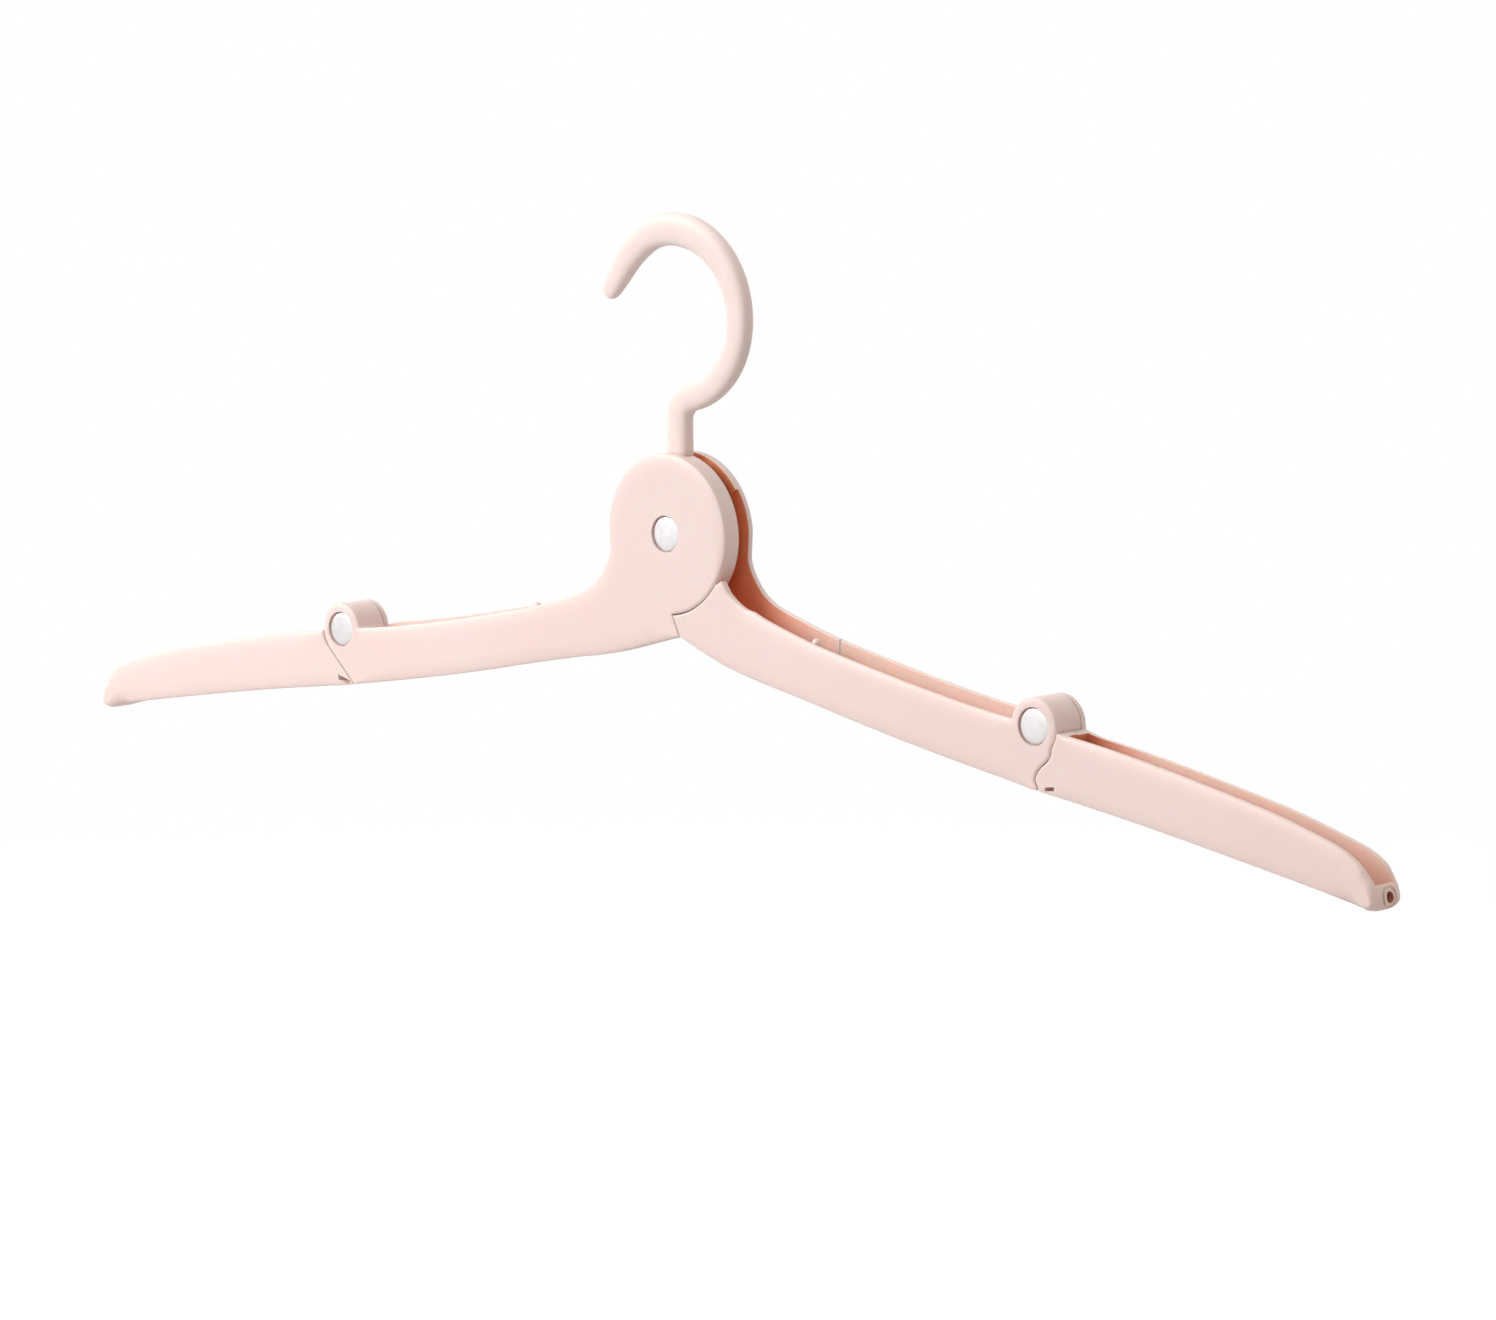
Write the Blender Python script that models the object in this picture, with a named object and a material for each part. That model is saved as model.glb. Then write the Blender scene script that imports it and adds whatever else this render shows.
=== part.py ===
"""Folding travel hanger: a hook, two channel arms that fold up at a hub rivet, and a tip on each
arm that folds inward at its own rivet. Metres, +Z up, the hanger in the XZ plane.

Everything is drawn about the hub rivet's axis, halfway through the depth, and then lowered, so
that the origin is at the top of the hook's inside, where a rail carries the hanger. Each arm is
drawn once, with "out" for the distance from the hub axis towards its tip, and is turned to the
left or the right. The left arm carries the front hub disc and the right arm the rear one."""

import math

import bmesh
import bpy
from mathutils import Matrix

# Whole hanger
DEPTH = 0.0110  # front face to rear face
WALL = 0.0019  # channel walls and hub discs
FLOOR = 0.0021  # bottom of each channel
GAP = 0.0003  # running clearance between neighbouring pieces
OVERRUN = 0.0030  # how far a cutter reaches past what it cuts

# Hub
DISC_RADIUS = 0.0190
SKIRT = 0.0018  # rim of a hub disc that reaches back to the middle plane
LIP = 0.0010  # how much thicker a hub disc is along its open rim
HUB_UNDER = 0.0240  # hub axis to the underside of the arch
HORN_DROP = 0.0099  # hub axis to the top of the short wall beside the other arm's disc
HORN_ROUND = 0.0013
SEAM_TOP_OUT = 0.0021  # the seam under the hub, at the disc and at the underside
SEAM_FOOT_OUT = 0.0044

# Arm pivot
PIVOT_OUT = 0.1135
PIVOT_DROP = 0.0336  # how far the arm pivot lies below the hub axis
PIVOT_HEIGHT = 0.0143  # arm pivot to the underside of the arm
BOSS_RADIUS = 0.0065
EAR = 0.0018  # rear ear of a tip, which laps the boss
HOOKED_SEAM_OUT = 0.0049  # the stepped seam under the pivot: its upper and lower faces
HOOKED_SEAM_IN = 0.0010
HOOKED_SEAM_DROP = 0.0077
HOOKED_SEAM_FALL = 0.0027
HOOKED_SEAM_ANGLE = -40.0
SLANTED_SEAM_ANGLE = -46.7

# Tip
REACH = 0.0938  # arm pivot to the end of the tip
RISE = 0.0006  # how far the arm's rear wall stands above its front wall, and the tip's below
KEY_REACH = 0.0665  # arm pivot to the key, which enters the folded tip's notch
KEY_WIDTH = 0.0006
KEY_PROUD = 0.0004  # above the rear wall, and into the channel
KEY_LENGTH = 0.0045  # down the wall
NUB_RADIUS = 0.0012
NUB_PROUD = 0.0012
NUB_RISE = 0.0007
SLOT_RUN = 0.0036  # along the tip
SLOT_RISE = 0.0014  # over that run
SLOT_HEIGHT = 0.0008
SLOT_DEPTH = 0.0012
SLOT_SEAM_SPACE = 0.0026  # from the seam to the slot
SLOT_LIP = 0.0005  # material left under the slot's lower end
EYELET_RADIUS = 0.0012
EYELET_DROP = 0.0268  # arm pivot down to the hole in the tip's end wall
MOUTH_DROP = 0.0245  # arm pivot down to the top of the tip's end wall

# Rivets
HUB_HEAD_RADIUS = 0.0041
ARM_HEAD_RADIUS = 0.0041
HEAD_THICKNESS = 0.0006
HEAD_SUNK = 0.0002  # how far a head lies below the face
HUB_SHANK_RADIUS = 0.0020
ARM_SHANK_RADIUS = 0.0018
HEAD_EDGE = 0.0002
WASHER_THICKNESS = 0.0005
WASHER_RADIUS = 0.0058

# Hook
HOOK_RADIUS = 0.0199  # centre line
HOOK_RISE = 0.0519  # hub axis to the hook's centre
HOOK_WIDTH = 0.0074  # section, in the hanger's plane
HOOK_THICKNESS = 0.0046  # section, through the depth
HOOK_TIP_ANGLE = 175.0
HOOK_NECK_ANGLE = -78.0
HOOK_FLARE = 0.0033  # how far the tip bends outwards from the circle
HOOK_FLARE_START = 145.0
EYE_RADIUS = 0.0085
HOOK_FACETS = 16
HOOK_SQUARENESS = 3.0  # exponent of the rounded section
HOOK_ARC_STEPS = 40
HOOK_BEND_STEPS = 6
# The section's size near the hook's tip: distance from the end in widths, share of the section
TIP_TAPER_SHARES = ((0.00, 0.36), (0.06, 0.58), (0.16, 0.74), (0.35, 0.86), (0.80, 0.96), (1.20, 1.00))

# The parting line between an arm and its folded tip, from the pivot: out and drop, in reaches
PARTING_SHARES = (
    (0.072, 0.0105),
    (0.220, 0.0305),
    (0.390, 0.0600),
    (0.550, 0.0915),
    (0.700, 0.1235),
    (0.820, 0.1560),
    (0.900, 0.1820),
    (0.950, 0.2100),
    (0.980, 0.2410),
    (1.000, 0.2720),
)
# The rest of the tip's outline, round its end and back along the underside to the pivot
NOSE_SHARES = ((0.9995, 0.2880), (0.994, 0.3020), (0.983, 0.3105))
TIP_UNDER_SHARES = (
    (0.970, 0.3125),
    (0.930, 0.3020),
    (0.800, 0.2780),
    (0.645, 0.2515),
    (0.470, 0.2220),
    (0.267, 0.1900),
)
# The arm's underside from the hub seam to the pivot: out in pivot distances, drop in the whole drop
LONG_UNDER_SHARES = ((0.040, 0.100), (0.130, 0.225), (0.200, 0.300))
SHORT_UNDER_SHARES = ((0.110, 0.145), (0.176, 0.250))
ARM_UNDER_SHARES = (
    (0.260, 0.345),
    (0.400, 0.477),
    (0.537, 0.612),
    (0.670, 0.734),
    (0.810, 0.852),
    (0.948, 0.960),
)
RISE_FADE_SHARE = 0.88  # where the raised rear wall starts to fade, in reaches
RISE_START_SHARE = 0.05  # over which it grows beside the pivot
# The flank of the short wall's horn, out and drop from the hub axis, in disc radii
HORN_FLANK_SHARES = (
    (0.860, 0.521),
    (0.955, 0.558),
    (1.150, 0.705),
    (1.320, 0.816),
    (1.540, 0.853),
    (1.800, 0.910),
    (2.050, 0.925),
)
# The neck from the hub disc to the arm's top edge, out and drop, in disc radii
NECK_SHARES = ((0.987, 0.125), (0.983, 0.290))

HALF = DEPTH / 2
PIVOT = (PIVOT_OUT, -PIVOT_DROP)
CURVE_STEPS = 3
SEAM_TOP_ANGLE = -90 - math.degrees(math.asin(SEAM_TOP_OUT / DISC_RADIUS))
ROUND_STEPS = 60
SKIRT_END = 104.0  # degrees, where the skirt stops beside the hook's stem
LIP_END = 36.0  # degrees, where the thicker open rim stops above the arm
DISC_END = 4.0  # degrees, where the disc runs into the arm's top edge
SKIRT_FOOT = -62.0  # degrees, where the skirt starts under the channel
BOSS_START = 171.0  # degrees, where the arm's top edge meets the boss
EAR_END = -6.0  # degrees, where the ear meets the tip's top edge
ROOM_START = 40.0  # degrees, the round end of the tip's channel
ROOM_END = -50.0
SHARP_ANGLE = 28.0

PINK = ("pink_plastic", (0.93, 0.72, 0.68, 1.0), 0.42, 0.0)
STEEL = ("rivet_steel", (0.80, 0.80, 0.81, 1.0), 0.28, 1.0)
CLEAR = ("washer_nylon", (0.86, 0.85, 0.82, 1.0), 0.5, 0.0)


def clear_scene():
    for obj in list(bpy.data.objects):
        bpy.data.objects.remove(obj, do_unlink=True)


def material(kind):
    name, colour, roughness, metallic = kind
    found = bpy.data.materials.get(name)
    if found:
        return found
    made = bpy.data.materials.new(name)
    made.use_nodes = True
    shader = made.node_tree.nodes["Principled BSDF"]
    shader.inputs["Base Color"].default_value = colour
    shader.inputs["Roughness"].default_value = roughness
    shader.inputs["Metallic"].default_value = metallic
    return made


def polar(centre, radius, degrees):
    turn = math.radians(degrees)
    return (centre[0] + radius * math.cos(turn), centre[1] + radius * math.sin(turn))


def arc(centre, radius, start, end, steps=None):
    """Points along an arc in degrees, both ends included."""
    count = steps or max(2, round(ROUND_STEPS * abs(end - start) / 360))
    return [polar(centre, radius, start + (end - start) * n / count) for n in range(count + 1)]


def smooth(points, steps=CURVE_STEPS):
    """A Catmull-Rom curve through the points."""
    if len(points) < 3:
        return list(points)
    padded = [points[0], *points, points[-1]]
    found = []
    for a, b, c, d in zip(padded, padded[1:], padded[2:], padded[3:]):
        for n in range(steps):
            t = n / steps
            found.append(
                tuple(
                    (2 * b[k] + (c[k] - a[k]) * t + (2 * a[k] - 5 * b[k] + 4 * c[k] - d[k]) * t**2
                     + (3 * b[k] - a[k] - 3 * c[k] + d[k]) * t**3) / 2
                    for k in range(2)
                )
            )
    return [*found, points[-1]]


def shifted(points, out, up):
    return [(p[0] + out, p[1] + up) for p in points]


def offset_line(points, distance):
    """The same line moved sideways to its left, with mitred corners."""
    found = []
    for n, point in enumerate(points):
        normals = []
        for a, b in ((n - 1, n), (n, n + 1)):
            if a < 0 or b >= len(points):
                continue
            run = (points[b][0] - points[a][0], points[b][1] - points[a][1])
            length = math.hypot(*run)
            normals.append((-run[1] / length, run[0] / length))
        mean = [sum(v[k] for v in normals) / len(normals) for k in range(2)]
        square = mean[0] ** 2 + mean[1] ** 2
        found.append((point[0] + distance * mean[0] / square, point[1] + distance * mean[1] / square))
    return found


def link(name, mesh, kind=None):
    obj = bpy.data.objects.new(name, mesh)
    bpy.context.scene.collection.objects.link(obj)
    if kind:
        mesh.materials.append(material(kind))
        mesh.shade_smooth()
        mesh.set_sharp_from_angle(angle=math.radians(SHARP_ANGLE))
    return obj


def extruded(name, ring, move, kind=None):
    """A solid from the face with these corners, moved by this vector."""
    mesh = bpy.data.meshes.new(name)
    build = bmesh.new()
    face = build.faces.new([build.verts.new(corner) for corner in ring])
    swept = bmesh.ops.extrude_face_region(build, geom=[face])
    moved = [item for item in swept["geom"] if isinstance(item, bmesh.types.BMVert)]
    bmesh.ops.translate(build, verts=moved, vec=move)
    bmesh.ops.recalc_face_normals(build, faces=build.faces)
    build.to_mesh(mesh)
    build.free()
    return link(name, mesh, kind)


def prism(name, outline, near, far, side=1, kind=None):
    """A solid with this outline (out, up), from near to far through the depth."""
    return extruded(name, [(side * out, near, up) for out, up in outline], (0, far - near, 0), kind)


def turned(name, profile, centre, kind=None, segments=32):
    """A closed profile (radius, depth) turned about an axis through the depth at centre."""
    mesh = bpy.data.meshes.new(name)
    build = bmesh.new()
    rings = []
    for n in range(segments):
        turn = 2 * math.pi * n / segments
        rings.append([build.verts.new((r * math.cos(turn), y, r * math.sin(turn))) for r, y in profile])
    for n, ring in enumerate(rings):
        after = rings[(n + 1) % segments]
        for m in range(len(profile)):
            k = (m + 1) % len(profile)
            build.faces.new((ring[m], ring[k], after[k], after[m]))
    bmesh.ops.remove_doubles(build, verts=build.verts, dist=GAP / 100)
    bmesh.ops.dissolve_degenerate(build, edges=build.edges, dist=GAP / 100)
    loose = [edge for edge in build.edges if not edge.link_faces]
    bmesh.ops.delete(build, geom=loose, context="EDGES")
    bmesh.ops.recalc_face_normals(build, faces=build.faces)
    build.to_mesh(mesh)
    build.free()
    obj = link(name, mesh, kind)
    obj.location = (centre[0], 0, centre[1])
    return obj


def rod(name, centre, radius, near, far, side=1, kind=None):
    return prism(name, arc(centre, radius, 0, 360)[:-1], near, far, side, kind)


def drill(name, near, far, up, radius, side):
    """A rod on the middle plane that runs outwards, from near to far, at this height."""
    ring = [(side * near, across, rise) for across, rise in arc((0, up), radius, 0, 360)[:-1]]
    return extruded(name, ring, (side * (far - near), 0, 0))


def combine(target, other, operation="DIFFERENCE"):
    """A Boolean of target with a hidden helper."""
    other.hide_render = True
    other.display_type = "WIRE"
    other.parent = target
    modifier = target.modifiers.new(other.name, "BOOLEAN")
    modifier.operation = operation
    modifier.solver = "EXACT"
    modifier.object = other


def set_origin(obj, x, z):
    """Puts the object's origin on its joint's axis, leaving its shape and its helpers in place."""
    for item in (obj, *obj.children):
        item.data.transform(Matrix.Translation((-x, 0, -z)))
    obj.location = (x, 0, z)


def parting_line(rise=0.0):
    """The parting line about the pivot, from the pivot outwards, raised but for its outer end."""
    line = []
    for out, up in smooth(PARTING_SHARES):
        grown = (out - PARTING_SHARES[0][0]) / RISE_START_SHARE
        fade = min(1.0, grown, (1 - out) / (1 - RISE_FADE_SHARE))
        line.append((out * REACH, up * REACH + rise * fade))
    return line


def parting(rise=0.0):
    """The arm's top edge from the pivot to the hub, in the arm's frame."""
    return [(PIVOT_OUT - out, -PIVOT_DROP + up - GAP / 2) for out, up in parting_line(rise)]


def tip_parting(rise=0.0):
    """The tip's top edge from the pivot to its nose."""
    return [(PIVOT_OUT + out, -PIVOT_DROP - up - GAP / 2) for out, up in parting_line(rise)]


def hub_seam():
    """The seam under the hub, top to bottom, out from the hub axis."""
    run = SEAM_FOOT_OUT - SEAM_TOP_OUT
    rise = HUB_UNDER - DISC_RADIUS
    foot = (SEAM_FOOT_OUT + run * OVERRUN / rise, -HUB_UNDER - OVERRUN)
    return [(SEAM_TOP_OUT - run * OVERRUN / rise, -DISC_RADIUS + OVERRUN), foot]


def pivot_seam(slanted):
    """The seam under the pivot, from the boss down past the underside, about the pivot."""
    bottom = -PIVOT_HEIGHT - OVERRUN
    if slanted:
        top = polar((0, 0), BOSS_RADIUS, SLANTED_SEAM_ANGLE)
        turn = math.radians(SLANTED_SEAM_ANGLE)
        run = (math.sin(turn), -math.cos(turn))
        length = (bottom - top[1]) / run[1]
        return [top, (top[0] + run[0] * length, bottom)]
    return [
        polar((0, 0), BOSS_RADIUS, HOOKED_SEAM_ANGLE),
        (HOOKED_SEAM_OUT, -HOOKED_SEAM_DROP),
        (HOOKED_SEAM_IN, -HOOKED_SEAM_DROP - HOOKED_SEAM_FALL),
        (HOOKED_SEAM_IN, bottom),
    ]


def arm_under(short=False):
    """The underside of the long or the short wall, from its hub seam out to the pivot."""
    drop = PIVOT_DROP + PIVOT_HEIGHT - HUB_UNDER
    shares = (SHORT_UNDER_SHARES if short else LONG_UNDER_SHARES) + ARM_UNDER_SHARES
    start = SEAM_FOOT_OUT if short else -SEAM_FOOT_OUT
    points = [(start, -HUB_UNDER)]
    points += [(out * PIVOT_OUT, -HUB_UNDER - share * drop) for out, share in shares]
    return smooth([*points, (PIVOT_OUT, -PIVOT_DROP - PIVOT_HEIGHT)])


def tip_under():
    """The tip's underside from its nose back to the pivot."""
    points = [(PIVOT_OUT + out * REACH, -PIVOT_DROP - drop * REACH) for out, drop in TIP_UNDER_SHARES]
    return smooth([*points, (PIVOT_OUT, -PIVOT_DROP - PIVOT_HEIGHT)])


def half_range(half, reach=HALF + OVERRUN):
    """(near, far) of the front (-1) or rear (1) half, just past the middle plane."""
    return sorted((half * reach, -half * GAP / 2))


def recess(target, name, centre, head, shank, side, faces):
    """A rivet's hole, and its countersunk seat in each face named (-1 front, 1 rear)."""
    hole = rod(name + "_bore", centre, shank + GAP, -HALF - OVERRUN, HALF + OVERRUN, side)
    combine(target, hole)
    for face in faces:
        inner = face * (HALF - HEAD_SUNK - HEAD_THICKNESS - GAP)
        near, far = sorted((inner, face * (HALF + OVERRUN)))
        combine(target, rod(f"{name}_seat_{face}", centre, head + GAP, near, far, side))


def inner_arm(name, side, disc_half):
    """One arm: channel, hub disc on disc_half's side, notch for the other disc, pivot boss."""
    seam = hub_seam()
    disc = arc((0, 0), DISC_RADIUS, SEAM_TOP_ANGLE, DISC_END - 360)
    edge = parting(RISE)[::-1]
    neck = [(out * DISC_RADIUS, -drop * DISC_RADIUS) for out, drop in NECK_SHARES]
    neck = smooth([*disc[-2:], *neck, *edge[:2]])[CURVE_STEPS + 1:-CURVE_STEPS - 1]
    boss = arc(PIVOT, BOSS_RADIUS, BOSS_START, 0)
    under = arm_under()[::-1]
    foot = (PIVOT_OUT + BOSS_RADIUS, under[0][1])
    body = prism(name, [*disc, *neck, *edge, *boss, foot, *under], -HALF, HALF, side, PINK)

    # Room for the other arm's disc and skirt, and the short wall's end, underside and horn
    near, far = half_range(-disc_half)
    combine(body, rod(name + "_notch", (0, 0), DISC_RADIUS + GAP, near, far, side))
    edge = offset_line(seam, GAP)
    past = [(-DISC_RADIUS, edge[1][1]), (-DISC_RADIUS, edge[0][1])]
    combine(body, prism(name + "_short_end", [*edge, *past], near, far, side))
    short = [p for p in arm_under(short=True) if p[0] < ARM_UNDER_SHARES[0][0] * PIVOT_OUT]
    below = [(short[-1][0], short[-1][1] - OVERRUN), (0, short[-1][1] - OVERRUN), (0, -HUB_UNDER)]
    combine(body, prism(name + "_short_under", [*short, *below], near, far, side))
    horn_in = math.sqrt((DISC_RADIUS + GAP) ** 2 - HORN_DROP**2)
    centre = (horn_in + HORN_ROUND, -HORN_DROP - HORN_ROUND)
    flank = smooth([(out * DISC_RADIUS, -drop * DISC_RADIUS) for out, drop in HORN_FLANK_SHARES])
    flank = [p for p in flank if p[0] > centre[0] + HORN_ROUND / 2]
    crown = [*arc(centre, HORN_ROUND, 180, 90), *flank]
    crown += [(flank[-1][0], DISC_RADIUS), (0, DISC_RADIUS), (0, centre[1])]
    combine(body, prism(name + "_horn", crown, near, far, side))

    # The hollow of the hub and the channel, open at the top
    cavity = DISC_RADIUS - SKIRT
    rim = arc((0, 0), DISC_RADIUS + OVERRUN, LIP_END, DISC_END)
    end = PIVOT_OUT - BOSS_RADIUS - GAP - WALL / 4
    above = [p for p in shifted(parting()[::-1], OVERRUN, OVERRUN) if p[0] < end]
    floor = [p for p in shifted(under, 0, FLOOR) if cavity < p[0] < end]
    back = [(end, above[-1][1]), (end, floor[0][1])]
    round_hub = arc((0, 0), cavity, SKIRT_FOOT, LIP_END - 360)
    hollow = [*rim, *above, *back, *floor, *round_hub]
    combine(body, prism(name + "_hollow", hollow, WALL - HALF, HALF - WALL, side))

    # Where the hook's stem passes as the arm folds up
    inner = arc((0, 0), cavity - GAP, SKIRT_END, LIP_END - GAP)
    outer = arc((0, 0), DISC_RADIUS + OVERRUN, LIP_END, SKIRT_END)
    deep = HALF - WALL - LIP
    combine(body, prism(name + "_stem_room", [*inner, *outer], -deep, deep, side))

    # The front wall is lower than the rear one
    low = [p for p in parting() if p[0] < PIVOT_OUT - BOSS_RADIUS]
    high = [(out, up + OVERRUN) for out, up in low[::-1]]
    near, far = half_range(-1)
    combine(body, prism(name + "_low_front", [*low, *high], near, far, side))

    # Key on the rear wall
    key_out = PIVOT_OUT - KEY_REACH
    key_up = min(parting(RISE), key=lambda p: abs(p[0] - key_out))[1]
    key = [(key_out + across, key_up + up) for across in (0, KEY_WIDTH) for up in (KEY_PROUD, -KEY_LENGTH)]
    key = [key[0], key[1], key[3], key[2]]
    combine(body, prism(name + "_key", key, HALF - WALL - KEY_PROUD, HALF - WALL / 2, side), "UNION")

    # Pivot: pocket for the tip's ear, and the seams of both halves
    combine(body, rod(name + "_pocket", PIVOT, BOSS_RADIUS + GAP, HALF - EAR - GAP, HALF + OVERRUN, side))
    for half in (-1, 1):
        line = pivot_seam(slanted=half == disc_half)
        start = SLANTED_SEAM_ANGLE if half == disc_half else HOOKED_SEAM_ANGLE
        bend = arc((0, 0), BOSS_RADIUS, 0, start)
        right = BOSS_RADIUS + OVERRUN
        ring = shifted([*bend[:-1], *line, (right, line[-1][1]), (right, 0)], *PIVOT)
        near, far = half_range(half)
        combine(body, prism(f"{name}_pivot_end_{half}", ring, near, far, side))

    # Catch inside the front wall, which enters the folded tip's channel
    edge_out = PIVOT_OUT - KEY_REACH - NUB_RADIUS
    edge_up = min(parting(), key=lambda p: abs(p[0] - edge_out))[1]
    inner = -HALF + WALL
    foot = (edge_out, edge_up - NUB_RADIUS - NUB_RISE)
    crest = (edge_out, edge_up - NUB_RADIUS + NUB_RISE)
    end = inner + NUB_PROUD
    combine(body, rod(name + "_catch_foot", foot, NUB_RADIUS, inner - WALL / 2, end, side), "UNION")
    combine(body, rod(name + "_catch", crest, NUB_RADIUS, inner + GAP, end - GAP / 2, side), "UNION")

    recess(body, name + "_hub", (0, 0), HUB_HEAD_RADIUS, HUB_SHANK_RADIUS, side, (disc_half,))
    recess(body, name + "_pivot", PIVOT, ARM_HEAD_RADIUS, ARM_SHANK_RADIUS, side, (-1,))
    return body


def outer_arm(name, side, disc_half):
    """The folding tip: channel, rear ear on the boss, eyelet and slot."""
    top = tip_parting()
    nose = [(PIVOT_OUT + out * REACH, -PIVOT_DROP - drop * REACH) for out, drop in NOSE_SHARES]
    under = tip_under()
    ear = arc(PIVOT, BOSS_RADIUS, 180, EAR_END)
    inner = PIVOT_OUT - BOSS_RADIUS
    foot = [p for p in arm_under()[::-1] if inner < p[0] < PIVOT_OUT]
    foot.append((inner, foot[-1][1]))
    body = prism(name, [*ear, *top, *nose, *under, *foot], -HALF, HALF, side, PINK)

    combine(body, rod(name + "_boss_room", PIVOT, BOSS_RADIUS + GAP, -HALF - OVERRUN, HALF - EAR, side))
    for half in (-1, 1):
        line = offset_line(pivot_seam(slanted=half == disc_half), GAP)
        start = SLANTED_SEAM_ANGLE if half == disc_half else HOOKED_SEAM_ANGLE
        bend = arc((0, 0), BOSS_RADIUS, start, -180)
        left = -BOSS_RADIUS - OVERRUN
        ring = shifted([*line[::-1], *bend, (left, 0), (left, line[-1][1])], *PIVOT)
        near, far = half_range(half)
        combine(body, prism(f"{name}_pivot_end_{half}", ring, near, far, side))

    # The channel, open at the top, closed round the boss and at the nose
    room = BOSS_RADIUS + GAP + WALL
    round_boss = arc(PIVOT, room, ROOM_START, ROOM_END)
    floor = [p for p in shifted(tip_under()[::-1], 0, FLOOR) if p[0] > round_boss[-1][0]]
    inset = PIVOT_OUT + REACH - WALL
    floor = [p for p in floor if p[0] < inset - FLOOR]
    end = [(inset - FLOOR / 2, floor[-1][1]), (inset, floor[-1][1] + FLOOR / 2)]
    above = [p for p in shifted(tip_parting(), 0, OVERRUN) if room < p[0] - PIVOT_OUT < REACH - 2 * WALL]
    past = PIVOT_OUT + REACH + OVERRUN
    mouth = -PIVOT_DROP - MOUTH_DROP
    hollow = [*round_boss, *floor, *end, (inset, mouth), (past, mouth), (past, above[-1][1]), *above[::-1]]
    combine(body, prism(name + "_hollow", hollow, WALL - HALF, HALF - WALL, side))

    # The rear wall is lower than the front one, with a notch for the arm's key
    low = [p for p in tip_parting(RISE) if p[0] > PIVOT_OUT + BOSS_RADIUS]
    high = [(out, up + OVERRUN) for out, up in low[::-1]]
    near, far = half_range(1)
    combine(body, prism(name + "_low_rear", [*low, *high], near, far, side))
    key_out = PIVOT_OUT + KEY_REACH
    key_up = min(low, key=lambda p: abs(p[0] - key_out))[1]
    notch_in = key_out - KEY_WIDTH - GAP
    notch_out = key_out + GAP
    notch = [(notch_in, key_up - KEY_PROUD - GAP), (notch_out, key_up - KEY_PROUD - GAP)]
    notch += [(notch_out, key_up + OVERRUN), (notch_in, key_up + OVERRUN)]
    combine(body, prism(name + "_notch", notch, near, far, side))

    # Slot low on the front wall beside the seam, rising outwards, and the hole in the end wall
    upper, lower = pivot_seam(slanted=disc_half < 0)[-2:]
    share = (upper[1] + PIVOT_HEIGHT) / (upper[1] - lower[1])
    start = upper[0] + (lower[0] - upper[0]) * share + SLOT_SEAM_SPACE
    lean = (TIP_UNDER_SHARES[-1][1] * REACH - PIVOT_HEIGHT) / (TIP_UNDER_SHARES[-1][0] * REACH)
    low_up = SLOT_LIP - PIVOT_HEIGHT - lean * start
    slot = [(start, low_up), (start + SLOT_RUN, low_up + SLOT_RISE)]
    slot += [(out, up + SLOT_HEIGHT) for out, up in slot[::-1]]
    combine(body, prism(name + "_slot", shifted(slot, *PIVOT), -HALF - OVERRUN, SLOT_DEPTH - HALF, side))
    eyelet_up = -PIVOT_DROP - EYELET_DROP
    combine(body, drill(name + "_eyelet", inset - EYELET_RADIUS, past, eyelet_up, EYELET_RADIUS, side))

    hole = rod(name + "_bore", PIVOT, ARM_SHANK_RADIUS + GAP, HALF - EAR - OVERRUN, HALF + OVERRUN, side)
    combine(body, hole)
    seat = HALF - HEAD_SUNK - HEAD_THICKNESS - GAP
    combine(body, rod(name + "_seat", PIVOT, ARM_HEAD_RADIUS + GAP, seat, HALF + OVERRUN, side))
    return body


def rivet(name, centre, head, shank):
    """A post with its front head and its shank, and the rear ring that holds it."""
    front = HEAD_SUNK - HALF
    rear = -front
    post = [
        (0, front),
        (head - HEAD_EDGE, front),
        (head, front + HEAD_EDGE),
        (head, front + HEAD_THICKNESS),
        (shank, front + HEAD_THICKNESS),
        (shank, rear - HEAD_EDGE),
        (shank - HEAD_EDGE, rear),
        (0, rear),
    ]
    ring = [
        (shank + GAP, rear),
        (head - HEAD_EDGE, rear),
        (head, rear - HEAD_EDGE),
        (head, rear - HEAD_THICKNESS),
        (shank + GAP, rear - HEAD_THICKNESS),
    ]
    return turned(name + "_post", post, centre, STEEL), turned(name + "_cap", ring, centre, STEEL)


def washer(name, half):
    outer = half * (HALF - WALL - GAP)
    inner = outer - half * WASHER_THICKNESS
    bore = HUB_SHANK_RADIUS + GAP
    ring = [(bore, outer), (WASHER_RADIUS, outer), (WASHER_RADIUS, inner), (bore, inner)]
    return turned(name, ring, (0, 0), CLEAR)


def section(width, thickness):
    """The rounded section across the hook: (in the plane, through the depth)."""
    found = []
    for n in range(HOOK_FACETS):
        turn = 2 * math.pi * (n + 1 / 2) / HOOK_FACETS
        c, s = math.cos(turn), math.sin(turn)
        power = 2 / HOOK_SQUARENESS
        across = math.copysign(abs(c) ** power, c) * width / 2
        deep = math.copysign(abs(s) ** power, s) * thickness / 2
        found.append((across, deep))
    return found


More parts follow.
